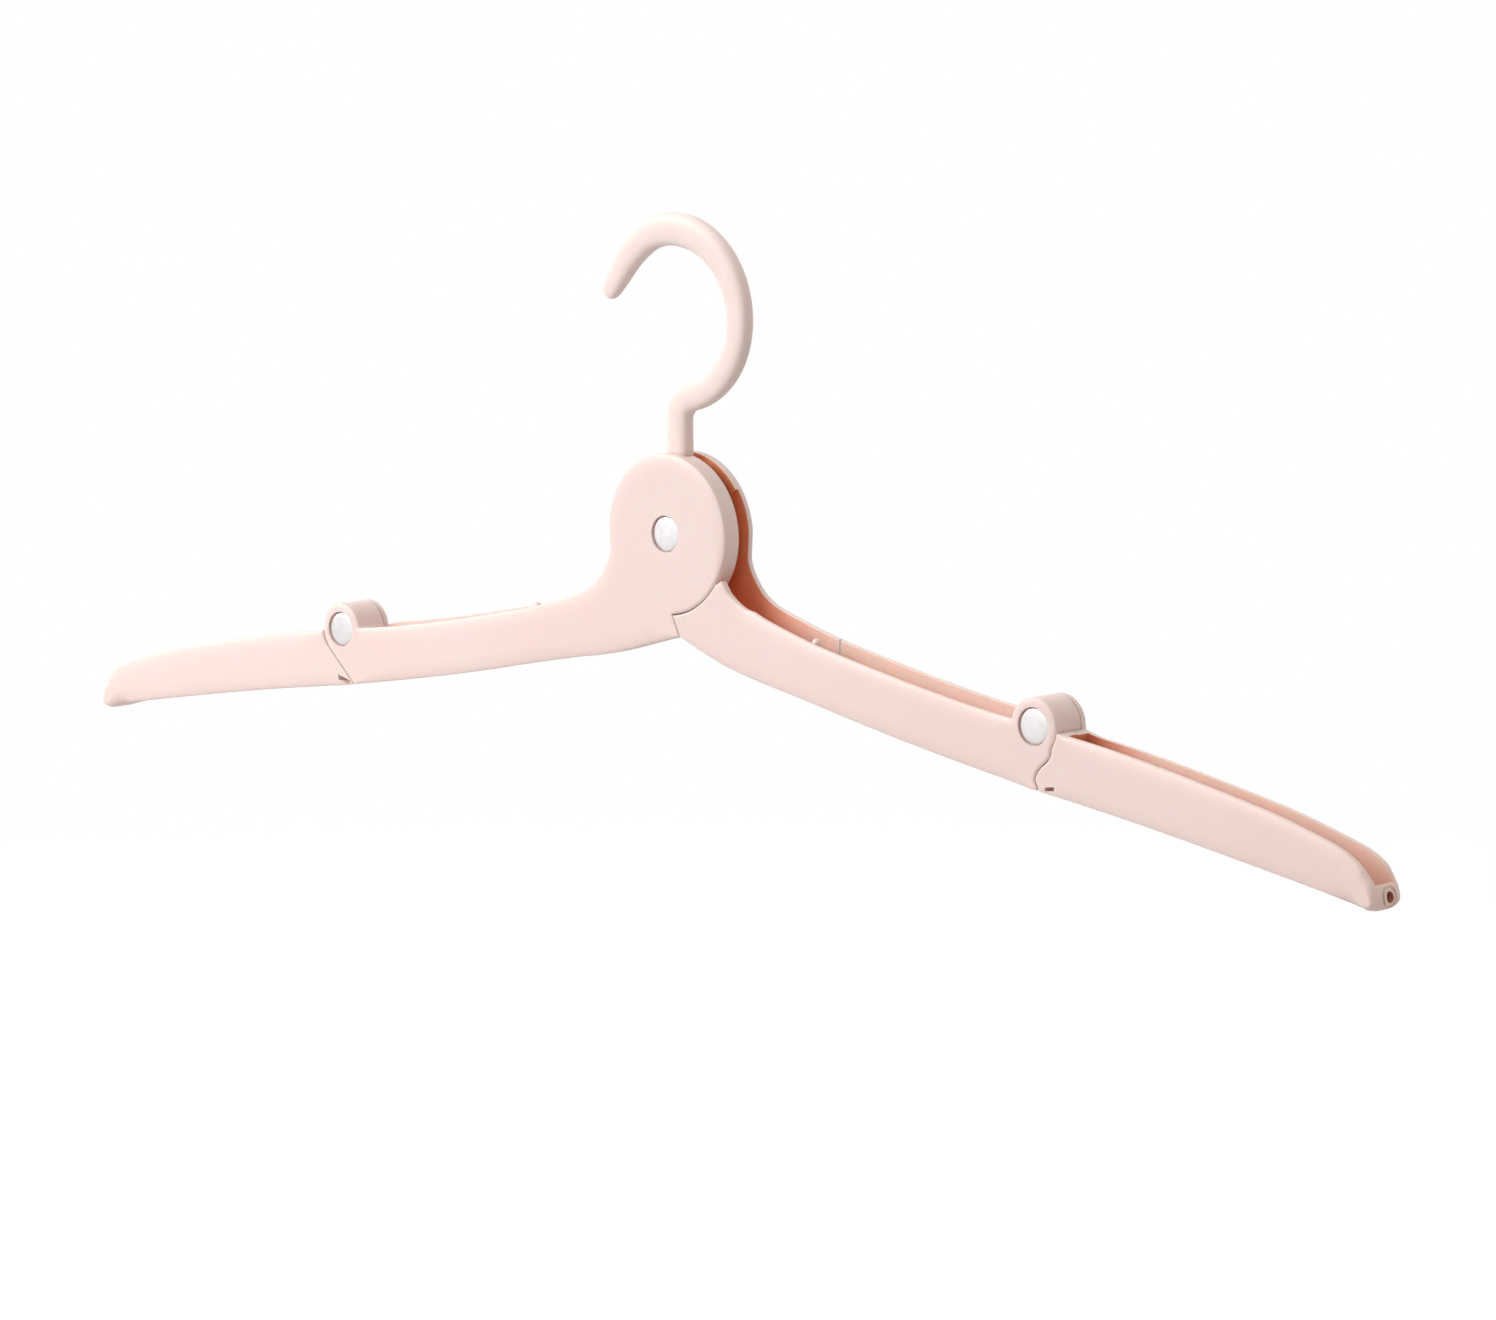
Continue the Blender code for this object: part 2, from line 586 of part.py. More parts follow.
def hook_path():
    """(out, up, heading in degrees) along the centre line, tip to eye."""
    centre = (0, HOOK_RISE)
    path = []
    for n in range(HOOK_ARC_STEPS + 1):
        angle = HOOK_TIP_ANGLE + (HOOK_NECK_ANGLE - HOOK_TIP_ANGLE) * n / HOOK_ARC_STEPS
        flare_range = HOOK_TIP_ANGLE - HOOK_FLARE_START
        share = max(angle - HOOK_FLARE_START, 0) / flare_range
        radius = HOOK_RADIUS + HOOK_FLARE * share**2
        growth = 2 * HOOK_FLARE * share / math.radians(flare_range)
        path.append((*polar(centre, radius, angle), angle - 90 - math.degrees(math.atan(growth / radius))))
    out, up, heading = path[-1]
    turn = math.radians(HOOK_NECK_ANGLE)
    bend = out / (1 - math.cos(turn))
    middle = (bend, up + bend * math.sin(turn))
    for n in range(1, HOOK_BEND_STEPS + 1):
        angle = heading + (-90 - heading) * n / HOOK_BEND_STEPS
        path.append((*polar(middle, bend, angle - 90), angle))
    path.append((0, EYE_RADIUS / 2, -90))
    return path


def hook(name):
    """The hook swept along its centre line, with a flat round eye on the hub rivet."""
    mesh = bpy.data.meshes.new(name)
    build = bmesh.new()
    path = hook_path()
    run = [0.0]
    for a, b in zip(path, path[1:]):
        run.append(run[-1] + math.dist(a[:2], b[:2]))
    rings = []
    for (out, up, heading), length in zip(path, run):
        swell = 1.0
        near = length / HOOK_WIDTH
        for (s0, w0), (s1, w1) in zip(TIP_TAPER_SHARES, TIP_TAPER_SHARES[1:]):
            if s0 <= near <= s1:
                swell = w0 + (w1 - w0) * (near - s0) / (s1 - s0)
        turn = math.radians(heading)
        side = (-math.sin(turn), math.cos(turn))
        ring = []
        for across, deep in section(HOOK_WIDTH * swell, HOOK_THICKNESS * min(swell, 1.0)):
            ring.append(build.verts.new((out + across * side[0], deep, up + across * side[1])))
        rings.append(ring)
    for a, b in zip(rings, rings[1:]):
        for n in range(HOOK_FACETS):
            m = (n + 1) % HOOK_FACETS
            build.faces.new((a[n], a[m], b[m], b[n]))
    build.faces.new(rings[0])
    build.faces.new(rings[-1])
    bmesh.ops.recalc_face_normals(build, faces=build.faces)
    build.to_mesh(mesh)
    build.free()
    body = link(name, mesh, PINK)
    deep = HALF - WALL - GAP - WASHER_THICKNESS - GAP
    combine(body, rod(name + "_eye", (0, 0), EYE_RADIUS, -deep, deep), "UNION")
    combine(body, rod(name + "_bore", (0, 0), HUB_SHANK_RADIUS + GAP, -DEPTH, DEPTH))
    for half in (-1, 1):
        near, far = sorted((half * deep, half * DEPTH))
        room = rod(f"{name}_washer_room_{half}", (0, 0), EYE_RADIUS + GAP, near, far)
        combine(body, room)
    return body


def main():
    clear_scene()
    hook("hook")
    for side, word, disc_half in ((-1, "left", -1), (1, "right", 1)):
        set_origin(inner_arm(f"{word}_inner_arm", side, disc_half), 0, 0)
        set_origin(outer_arm(f"{word}_outer_arm", side, disc_half), side * PIVOT_OUT, -PIVOT_DROP)
        pivot = (side * PIVOT_OUT, -PIVOT_DROP)
        rivet(f"{word}_rivet", pivot, ARM_HEAD_RADIUS, ARM_SHANK_RADIUS)
    rivet("hub_rivet", (0, 0), HUB_HEAD_RADIUS, HUB_SHANK_RADIUS)
    washer("hub_front_washer", -1)
    washer("hub_rear_washer", 1)
    for obj in bpy.data.objects:
        if obj.parent is None:
            obj.location.z -= HOOK_RISE + HOOK_RADIUS - HOOK_WIDTH / 2


main()
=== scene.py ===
# %% [markdown]
# # A folding travel hanger
#
# The hanger is five pink plastic mouldings on three rivets: a hook, two arms that fold up at the
# hub, and a tip on each arm that folds inward. Its solids and its joints are made already, and this
# script dresses them: it models each moulding again with soft edges, and gives every surface its
# finish. A dressed piece takes the place of its solid and moves with the same body.

# %% Load the frame
import math

import bmesh
import bpy
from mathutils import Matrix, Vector


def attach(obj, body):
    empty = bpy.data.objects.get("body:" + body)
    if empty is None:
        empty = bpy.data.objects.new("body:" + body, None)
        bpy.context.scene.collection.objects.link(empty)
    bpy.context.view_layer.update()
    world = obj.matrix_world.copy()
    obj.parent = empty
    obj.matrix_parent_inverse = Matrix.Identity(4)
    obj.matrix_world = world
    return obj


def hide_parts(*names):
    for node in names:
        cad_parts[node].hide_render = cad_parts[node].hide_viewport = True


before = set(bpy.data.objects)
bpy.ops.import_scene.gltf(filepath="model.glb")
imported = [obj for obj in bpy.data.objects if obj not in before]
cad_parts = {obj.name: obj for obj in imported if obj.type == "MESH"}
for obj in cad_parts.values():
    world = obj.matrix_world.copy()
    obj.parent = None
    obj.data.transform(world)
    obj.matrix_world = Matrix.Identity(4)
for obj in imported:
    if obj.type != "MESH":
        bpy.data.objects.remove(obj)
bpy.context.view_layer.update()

# %% [markdown]
# ## Sizes
#
# All outlines are drawn in millimetres about the hub rivet, as a maker would draw them. The frame
# is in metres and has its origin under the top of the hook. The pieces could be drawn there too, but
# the numbers would mean less, so one helper turns a drawn point into a place in the frame. An arm
# is drawn once: "out" is the distance from the hub towards its tip, and the side, -1 or 1, turns it
# to the left or the right. "Depth" is the distance behind the middle plane, so the front faces lie
# at minus HALF.

# %% Sizes in millimetres
MM = 0.001
HUB_LEVEL = -68.1  # the hub rivet's height in the frame
HALF = 5.5  # from the middle plane to either face
WALL = 1.9
FLOOR = 2.1
GAP = 0.3  # between pieces that move on each other
PAST = 3.0  # how far a cutter reaches past what it cuts
DISC = 19.0  # the hub disc's radius
HUB_UNDER = 24.0  # from the hub rivet down to the underside
PIVOT = (113.5, -33.6)
PIVOT_HEIGHT = 14.3  # from a pivot down to the underside
BOSS = 6.5  # radius of the boss round a pivot
EAR = 1.8  # thickness of the tip's ear behind it
REACH = 93.8  # from a pivot to the end of the parting line


def place(side, out, depth, up):
    """A drawn point as a place in the frame."""
    return (side * out * MM, depth * MM, (up + HUB_LEVEL) * MM)


print("pivots at", place(-1, PIVOT[0], 0, PIVOT[1]), place(1, PIVOT[0], 0, PIVOT[1]))

# %% [markdown]
# ## The camera
#
# The hanger is seen from 43 degrees to its right and a little above, through a long lens. The
# camera could be aimed at a target with a constraint, but a long lens needs its angles exact: a
# tenth of a degree moves the picture by nine pixels. So its three axes are worked out from the
# angles and written into its matrix.

# %% The camera
TO_THE_RIGHT = math.radians(43.11)
ABOVE = math.radians(8.52)
LEAN = math.radians(-0.15)
CAMERA_AT = (0.8599, -0.8964, 0.0877)
LENS = 127.19
SENSOR = 36.0
SHIFT = (0.0020, -0.0011)


def add_camera():
    across = Vector((math.cos(TO_THE_RIGHT), math.sin(TO_THE_RIGHT), 0))
    ahead = Vector((
        -math.sin(TO_THE_RIGHT) * math.cos(ABOVE),
        math.cos(TO_THE_RIGHT) * math.cos(ABOVE),
        -math.sin(ABOVE),
    ))
    upward = across.cross(ahead)
    leant = across * math.cos(LEAN) + upward * math.sin(LEAN)
    upright = upward * math.cos(LEAN) - across * math.sin(LEAN)
    data = bpy.data.cameras.new("camera")
    data.sensor_fit = "HORIZONTAL"
    data.sensor_width = SENSOR
    data.lens = LENS
    data.shift_x, data.shift_y = SHIFT
    data.clip_start = 0.05
    data.clip_end = 50.0
    camera = bpy.data.objects.new("camera", data)
    bpy.context.scene.collection.objects.link(camera)
    matrix = camera.matrix_world.copy()
    for row in range(3):
        matrix[row][0] = leant[row]
        matrix[row][1] = upright[row]
        matrix[row][2] = -ahead[row]
        matrix[row][3] = CAMERA_AT[row]
    camera.matrix_world = matrix
    bpy.context.scene.camera = camera
    return camera


camera = add_camera()
bpy.context.scene.view_settings.view_transform = "Standard"
print("camera lens", camera.data.lens, "mm")

# %% [markdown]
# ## The air of the studio
#
# Pale plastic needs light from all round, so that no side goes grey. Area lamps on every side could
# give it, but a bright world is simpler and leaves no lamp's outline in the rivets. Light Path tells
# a camera ray from the light that falls on the hanger, so the background stays white while the
# object gets only half of it. Mirrored rays count as the camera's, because metal should show the
# white room too. The light is a little warm, and weaker from below, where a floor takes most of it.

# %% The world
AIR = 0.51
WARM_AIR = (1.0, 0.915, 0.85)
FROM_BELOW = 0.45
FROM_ABOVE = 1.08
LOW, HIGH = -0.7, 0.3


def add_world():
    """White for the camera, and a warm light for the object that weakens towards below."""
    world = bpy.data.worlds.new("studio_air")
    bpy.context.scene.world = world
    world.use_nodes = True
    nodes, links = world.node_tree.nodes, world.node_tree.links
    nodes.clear()
    path = nodes.new("ShaderNodeLightPath")
    seen = path.outputs["Is Camera Ray"]
    for ray in ("Is Glossy Ray", "Is Transmission Ray"):
        either = nodes.new("ShaderNodeMath")
        either.operation = "MAXIMUM"
        links.new(seen, either.inputs[0])
        links.new(path.outputs[ray], either.inputs[1])
        seen = either.outputs[0]
    light = nodes.new("ShaderNodeBackground")
    light.inputs["Color"].default_value = (*WARM_AIR, 1)
    white = nodes.new("ShaderNodeBackground")
    white.inputs["Color"].default_value = (1, 1, 1, 1)
    white.inputs["Strength"].default_value = 1.0
    mix = nodes.new("ShaderNodeMixShader")
    out = nodes.new("ShaderNodeOutputWorld")
    where = nodes.new("ShaderNodeTexCoord")
    height = nodes.new("ShaderNodeSeparateXYZ")
    fall = nodes.new("ShaderNodeMapRange")
    fall.interpolation_type = "SMOOTHSTEP"
    fall.inputs["From Min"].default_value = LOW
    fall.inputs["From Max"].default_value = HIGH
    fall.inputs["To Min"].default_value = AIR * FROM_BELOW
    fall.inputs["To Max"].default_value = AIR * FROM_ABOVE
    links.new(where.outputs["Generated"], height.inputs[0])
    links.new(height.outputs["Z"], fall.inputs["Value"])
    links.new(fall.outputs["Result"], light.inputs["Strength"])
    links.new(seen, mix.inputs[0])
    links.new(light.outputs[0], mix.inputs[1])
    links.new(white.outputs[0], mix.inputs[2])
    links.new(mix.outputs[0], out.inputs["Surface"])


add_world()
print("the air is", AIR, "times white, from", FROM_BELOW, "of that below to", FROM_ABOVE, "above")

# %% [markdown]
# ## Two lamps
#
# Even light alone would make the hanger look flat. One large disc from the upper left gives the
# faces their difference, and one overhead lights the rims and the top of the hook. Both are large
# and near, because a small or distant lamp throws hard shadows.

# %% The lamps
def add_lamp(name, at, aim, size, power):
    data = bpy.data.lights.new(name, "AREA")
    data.shape = "DISK"
    data.size = size
    data.energy = power
    lamp = bpy.data.objects.new(name, data)
    lamp.location = at
    lamp.rotation_euler = (Vector(aim) - Vector(at)).to_track_quat("-Z", "Y").to_euler()
    bpy.context.scene.collection.objects.link(lamp)
    return lamp


MIDDLE = (0, 0, -0.08)
for lamp in (
    add_lamp("key_lamp", (-0.85, -1.0, 0.6), MIDDLE, size=0.9, power=16),
    add_lamp("top_lamp", (0.0, 0.15, 1.1), MIDDLE, size=1.2, power=3.4),
):
    print(lamp.name, "gives", round(lamp.data.energy, 1), "W")

# %% [markdown]
# ## The floor
#
# The hanger hangs, so the floor lies well below it and is hardly seen. It still matters: from below
# it sends light back to the undersides. A plane with an edge would draw a line, so the floor
# fades into the white background with the distance from its middle. It counts as stage, and not as
# a piece of the hanger.

# %% A floor that fades out
FLOOR_LEVEL = -0.32
FLOOR_REACH = 1.1


def add_floor():
    mesh = bpy.data.meshes.new("floor")
    reach = FLOOR_REACH
    corners = [(-reach, -reach, 0), (reach, -reach, 0), (reach, reach, 0), (-reach, reach, 0)]
    mesh.from_pydata(corners, [], [(0, 1, 2, 3)])
    paint = bpy.data.materials.new("floor_paint")
    paint.use_nodes = True
    nodes, links = paint.node_tree.nodes, paint.node_tree.links
    shader = nodes["Principled BSDF"]
    shader.inputs["Base Color"].default_value = (0.60, 0.60, 0.60, 1)
    shader.inputs["Roughness"].default_value = 0.9
    shader.inputs["Emission Color"].default_value = (1, 1, 1, 1)
    path = nodes.new("ShaderNodeLightPath")
    lift = nodes.new("ShaderNodeMath")
    lift.operation = "MULTIPLY"
    lift.inputs[1].default_value = 0.75
    links.new(path.outputs["Is Camera Ray"], lift.inputs[0])
    links.new(lift.outputs[0], shader.inputs["Emission Strength"])
    where = nodes.new("ShaderNodeTexCoord")
    middle = nodes.new("ShaderNodeVectorMath")
    middle.operation = "LENGTH"
    fade = nodes.new("ShaderNodeMapRange")
    fade.interpolation_type = "SMOOTHSTEP"
    fade.inputs["From Min"].default_value = reach * 0.35
    fade.inputs["From Max"].default_value = reach * 0.95
    clear = nodes.new("ShaderNodeBsdfTransparent")
    mix = nodes.new("ShaderNodeMixShader")
    links.new(where.outputs["Object"], middle.inputs[0])
    links.new(middle.outputs["Value"], fade.inputs["Value"])
    links.new(fade.outputs["Result"], mix.inputs[0])
    links.new(shader.outputs[0], mix.inputs[1])
    links.new(clear.outputs[0], mix.inputs[2])
    links.new(mix.outputs[0], nodes["Material Output"].inputs["Surface"])
    mesh.materials.append(paint)
    floor = bpy.data.objects.new("floor", mesh)
    floor.location.z = FLOOR_LEVEL
    bpy.context.scene.collection.objects.link(floor)


add_floor()
print("the floor lies", -FLOOR_LEVEL, "m under the top of the hook")

# %% [markdown]
# ## Helpers for the finishes
#
# Every finish here is a few nodes round the Principled shader. Three kinds come back each time:
# noise that is fixed to the piece, a range that it is stretched to, and a mix of two colours. An
# image would need the piece unwrapped. Noise in object coordinates doesn't, and it moves with the
# piece when a joint turns.

# %% Noise and mixes
def new_finish(name):
    made = bpy.data.materials.new(name)
    made.use_nodes = True
    return made, made.node_tree.nodes, made.node_tree.links


def spotted(nodes, links, scale, detail=3.0):
    """Noise that is fixed to the piece, scale spots to the metre."""
    where = nodes.new("ShaderNodeTexCoord")
    noise = nodes.new("ShaderNodeTexNoise")
    noise.inputs["Scale"].default_value = scale
    noise.inputs["Detail"].default_value = detail
    links.new(where.outputs["Object"], noise.inputs["Vector"])
    return noise


def stretched(nodes, links, source, low, high):
    """The noise moved from its middle range to low..high."""
    span = nodes.new("ShaderNodeMapRange")
    span.inputs["From Min"].default_value = 0.3
    span.inputs["From Max"].default_value = 0.7
    span.inputs["To Min"].default_value = low
    span.inputs["To Max"].default_value = high
    links.new(source, span.inputs["Value"])
    return span.outputs["Result"]


def two_colours(nodes, links, pale, deep, amount):
    """The first colour where amount is 0, and the second where it is 1."""
    mix = nodes.new("ShaderNodeMix")
    mix.data_type = "RGBA"
    mix.inputs[6].default_value = (*pale, 1)
    mix.inputs[7].default_value = (*deep, 1)
    links.new(amount, mix.inputs[0])
    return mix.outputs[2]


print("three helpers for finishes: spotted, stretched and two_colours")

# %% [markdown]
# ## The plastic's skin and depth
#
# The plastic is a pale pink with a fine satin skin, as moulds with a spark-eroded surface give. Its
# colour stays almost even, so the detail is in the skin: a grain far finer than a millimetre, and a
# slow change of gloss where the plastic flowed. The grain could be real bumps in the mesh, but at
# this size a Bump node looks the same and costs nothing. The walls are thin enough to let a little
# light through, which is subsurface scattering: red goes furthest.

# %% Satin skin and light inside
GRAIN_DEEP = 0.00006
RED_GOES_FURTHEST = (1.0, 0.4, 0.25)


def satin_skin(nodes, links, shader, grain):
    fine = spotted(nodes, links, 2600.0, 2.0)
    bump = nodes.new("ShaderNodeBump")
    bump.inputs["Strength"].default_value = grain
    bump.inputs["Distance"].default_value = GRAIN_DEEP
    links.new(fine.outputs["Fac"], bump.inputs["Height"])
    links.new(bump.outputs["Normal"], shader.inputs["Normal"])
    flow = spotted(nodes, links, 45.0)
    links.new(stretched(nodes, links, flow.outputs["Fac"], 0.40, 0.50), shader.inputs["Roughness"])


def let_light_in(shader, weight, reach):
    """Light that enters the plastic and comes out again, reach metres away at most."""
    shader.inputs["Subsurface Weight"].default_value = weight
    shader.inputs["Subsurface Radius"].default_value = RED_GOES_FURTHEST
    shader.inputs["Subsurface Scale"].default_value = reach


print("the skin's grain is", round(GRAIN_DEEP / MM, 3), "mm deep")

# %% [markdown]
# ## The outside of the plastic
#
# All mouldings come from one pink, but thick plastic looks paler than thin, because less light is
# lost at its back. The hook is a solid bar and the arms are shells, so the hook gets a finish that
# is a little lighter. Each finish wanders between two close pinks in large soft clouds, because one
# flat colour looks painted.

# %% The outside finishes
def pink_plastic(name, pale, deep):
    """Satin plastic that wanders between two close pinks."""
    made, nodes, links = new_finish(name)
    shader = nodes["Principled BSDF"]
    cloud = spotted(nodes, links, 18.0, 2.0)
    amount = stretched(nodes, links, cloud.outputs["Fac"], 0.0, 1.0)
    colour = two_colours(nodes, links, pale, deep, amount)
    links.new(colour, shader.inputs["Base Color"])
    satin_skin(nodes, links, shader, 0.35)
    let_light_in(shader, 0.3, 0.002)
    return made


OUTSIDE = pink_plastic("satin_pink_plastic", (0.905, 0.755, 0.720), (0.885, 0.725, 0.685))
HOOK_PINK = pink_plastic("satin_pink_hook", (0.93, 0.81, 0.775), (0.91, 0.78, 0.74))
print("outside finishes:", OUTSIDE.name, "and", HOOK_PINK.name)

# %% [markdown]
# ## Painted shade inside the plastic
#
# Inside the channels the light bounces from pink to pink, and each bounce takes more of the blue and
# the green away. Renders follow only a few bounces, so the inner faces get painted shade: a deeper
# pink painted in for the bounced light and the shade there. It is a deep red in the narrow hub,
# fades with the distance from it, and deepens again beside the pivots and in the eyelets, where the
# light comes in least. On the left the channel is open towards the lamp, so the painted shade ends
# sooner there. The distance is measured on the piece, so the colour stays in its place when the arm
# folds.

# %% The inside finishes, painted shade
def away_from(nodes, links, centre, near, far):
    """0 at near and 1 at far, in metres from this place."""
    where = nodes.new("ShaderNodeTexCoord")
    span = nodes.new("ShaderNodeVectorMath")
    span.operation = "DISTANCE"
    span.inputs[1].default_value = centre
    links.new(where.outputs["Object"], span.inputs[0])
    scale = nodes.new("ShaderNodeMapRange")
    scale.interpolation_type = "SMOOTHSTEP"
    scale.inputs["From Min"].default_value = near
    scale.inputs["From Max"].default_value = far
    links.new(span.outputs["Value"], scale.inputs["Value"])
    return scale.outputs["Result"]


def painted_shade_pink(name, deep, centre, near, far, pale=(0.90, 0.68, 0.60)):
    """The inner faces' painted shade: deep near this place, and paler with the distance from it."""
    made, nodes, links = new_finish(name)
    shader = nodes["Principled BSDF"]
    amount = away_from(nodes, links, centre, near, far)
    links.new(two_colours(nodes, links, deep, pale, amount), shader.inputs["Base Color"])
    satin_skin(nodes, links, shader, 0.25)
    let_light_in(shader, 0.5, 0.003)
    return made


HUB = place(1, 0, 0, 0)
# Painted shade colours: deep red in the hub, warm brown beside the pivots, dark brown in the
# eyelets.
HUB_SHADE_RED = (0.88, 0.33, 0.16)
PIVOT_SHADE_BROWN = (0.74, 0.33, 0.21)
EYELET_SHADE_BROWN = (0.50, 0.26, 0.19)
INSIDE_SHADE = {
    1: painted_shade_pink("pink_plastic_inside", HUB_SHADE_RED, HUB, 0.018, 0.055),
    -1: painted_shade_pink("pink_plastic_inside_left", HUB_SHADE_RED, HUB, 0.012, 0.030, (0.90, 0.74, 0.69)),
}
TIP_SHADE, EYELET_SHADE = {}, {}
for side in (-1, 1):
    pivot, nose = place(side, PIVOT[0], 0, PIVOT[1]), place(side, 207.0, 0, -61.0)
    by_pivot, in_nose = f"pink_plastic_inside_tip_{side}", f"pink_plastic_eyelet_{side}"
    TIP_SHADE[side] = painted_shade_pink(by_pivot, PIVOT_SHADE_BROWN, pivot, 0.010, 0.032)
    EYELET_SHADE[side] = painted_shade_pink(in_nose, EYELET_SHADE_BROWN, nose, 0.002, 0.012)
print("inside finishes:", ", ".join(made.name for made in (*INSIDE_SHADE.values(), *EYELET_SHADE.values())))

# %% [markdown]
# ## Metal and nylon
#
# The rivet heads are plated steel, pressed and tumbled: bright, but with a fine frosting that
# spreads the reflections. A metal has no colour of its own beyond a tint: it shows what is round
# it, and in a white room that is white. So the work is in its roughness and in a very fine bump.
# The washers are plain nylon and hardly show.

# %% Rivet and washer finishes
def rivet_steel():
    made, nodes, links = new_finish("frosted_rivet_steel")
    shader = nodes["Principled BSDF"]
    shader.inputs["Metallic"].default_value = 1.0
    cloud = spotted(nodes, links, 300.0, 2.0)
    amount = stretched(nodes, links, cloud.outputs["Fac"], 0.0, 1.0)
    colour = two_colours(nodes, links, (0.82, 0.79, 0.80), (0.76, 0.74, 0.745), amount)
    links.new(colour, shader.inputs["Base Color"])
    rough = spotted(nodes, links, 900.0, 3.0)
    links.new(stretched(nodes, links, rough.outputs["Fac"], 0.28, 0.42), shader.inputs["Roughness"])
    bump = nodes.new("ShaderNodeBump")
    bump.inputs["Strength"].default_value = 0.3
    bump.inputs["Distance"].default_value = 0.00004
    links.new(rough.outputs["Fac"], bump.inputs["Height"])
    links.new(bump.outputs["Normal"], shader.inputs["Normal"])
    return made


def washer_nylon():
    made, nodes, links = new_finish("washer_nylon")
    shader = nodes["Principled BSDF"]
    cloud = spotted(nodes, links, 120.0)
    amount = stretched(nodes, links, cloud.outputs["Fac"], 0.0, 1.0)
    colour = two_colours(nodes, links, (0.80, 0.78, 0.73), (0.74, 0.71, 0.66), amount)
    links.new(colour, shader.inputs["Base Color"])
    links.new(stretched(nodes, links, cloud.outputs["Fac"], 0.45, 0.58), shader.inputs["Roughness"])
    return made


STEEL = rivet_steel()
NYLON = washer_nylon()
print("finishes:", STEEL.name, "and", NYLON.name)

# %% [markdown]
# ## Curves on the drawing
#
# The outlines are arcs and flowing lines. An arc is stepped finely enough that its corners stay
# under a hundredth of a millimetre, and a flowing line goes through a few chosen points. The curve
# used for it, Catmull-Rom, passes through its points, which a Bezier curve doesn't.

# %% Arcs and flowing lines
def polar(centre, radius, degrees):
    """The point at this distance and angle from a centre."""
    turn = math.radians(degrees)
    return (centre[0] + radius * math.cos(turn), centre[1] + radius * math.sin(turn))


def arc(centre, radius, start, end, step=3.0):
    count = max(2, round(abs(end - start) / step))
    return [polar(centre, radius, start + (end - start) * n / count) for n in range(count + 1)]


def flowing(points, steps=6):
    """A smooth line through all these points."""
    padded = [points[0], *points, points[-1]]
    found = []
    for a, b, c, d in zip(padded, padded[1:], padded[2:], padded[3:]):
        for n in range(steps):
            t = n / steps
            found.append(tuple(
                (2 * b[k] + (c[k] - a[k]) * t + (2 * a[k] - 5 * b[k] + 4 * c[k] - d[k]) * t**2
                 + (3 * b[k] - a[k] - 3 * c[k] + d[k]) * t**3) / 2
                for k in range(2)
            ))
    return [*found, points[-1]]


def moved(points, out, up):
    return [(p[0] + out, p[1] + up) for p in points]


def height_of(path, out):
    """How high a path is at this distance out."""
    for a, b in zip(path, path[1:]):
        low, high = sorted((a[0], b[0]))
        if low <= out <= high and high > low:
            return a[1] + (b[1] - a[1]) * (out - a[0]) / (b[0] - a[0])
    return path[-1][1]


print("an arc of 90 degrees has", len(arc((0, 0), DISC, 0, 90)), "points")

# %% [markdown]
# ## The parting line
#
# A folded tip lies upside down on its arm, and their open edges meet along one line. That line is
# drawn once, about the pivot. The arm takes it as it is, and the tip takes it turned half round, so
# the two always fit. The rear walls overlap it a little: the arm's is higher and the tip's lower.

# %% The parting line
PARTING = (
    (6.75, 0.98), (20.6, 2.86), (36.6, 5.63), (51.6, 8.58), (65.7, 11.58), (76.9, 14.63),
    (84.4, 17.07), (89.1, 19.70), (91.9, 22.61), (93.8, 25.51),
)
RISE = 0.6  # how far the rear wall's line lies above the front wall's
RISE_STARTS = 0.072  # these three are shares of the reach
RISE_GROWS = 0.05
RISE_ENDS = 0.12


def parting(rise=0.0):
    """From the pivot outwards: (out, up), with the rear wall's rise faded at both ends."""
    line = []
    for out, up in flowing(PARTING):
        share = out / REACH
        grown = min(1.0, (share - RISE_STARTS) / RISE_GROWS, (1 - share) / RISE_ENDS)
        line.append((out, up + rise * max(0.0, grown)))
    return line


def arm_edge(rise):
    """The arm's open edge from the hub to the pivot."""
    return [(PIVOT[0] - out, PIVOT[1] + up - GAP / 2) for out, up in parting(rise)][::-1]


def tip_edge(rise):
    """The tip's open edge from the pivot to its nose."""
    return [(PIVOT[0] + out, PIVOT[1] - up - GAP / 2) for out, up in parting(rise)]


print("the parting line has", len(parting()), "points")

# %% [markdown]
# ## The undersides
#
# The underside of an arm is one long, slightly bowed line. Near the hub it differs between the two
# walls: the longer wall starts past the middle of the disc, and the shorter one before it. Both are
# drawn as points that a flowing line joins, because no circle fits them.

# %% The arm's underside
ARM_UNDER = (
    (29.5, -32.25), (45.4, -35.40), (60.9, -38.63), (76.0, -41.54), (91.9, -44.36), (107.6, -46.94),
    (113.5, -47.90),
)
LONG_UNDER = ((-4.4, -24.00), (4.5, -26.39), (14.8, -29.38), (22.7, -31.17))
SHORT_UNDER = ((4.4, -24.00), (12.5, -27.47), (20.0, -29.98))


def arm_under(long_wall):
    """The underside of the arm's long or short wall, from its hub seam to past the pivot."""
    curve = flowing([*(LONG_UNDER if long_wall else SHORT_UNDER), *ARM_UNDER], 4)
    return [*curve, (PIVOT[0] + BOSS, curve[-1][1])]


print("the arm's underside drops", round(ARM_UNDER[0][1] - ARM_UNDER[-1][1], 2), "mm to the pivot")

# %% [markdown]
# ## The seams
#
# Each arm stops against its neighbour at a seam, which the front and the rear half of the moulding
# cut along different lines, so that the two interlock. Below the pivot one half has a slanted seam
# and the other a swaying one. Two lines drawn apart would never fit exactly. So a seam is one line
# here, and the tip's side of it is the same line moved by the gap.

# %% The seams
SLANT_FROM = -46.7
SWAY_FROM = -40.0
SWAY = ((4.75, -5.9), (3.9, -7.3), (2.0, -8.9), (0.8, -10.5), (0.35, -12.0), (0.9, -13.4))
SWAY_FOOT = 2.4
HUB_SEAM = ((2.1, -DISC), (4.4, -HUB_UNDER))


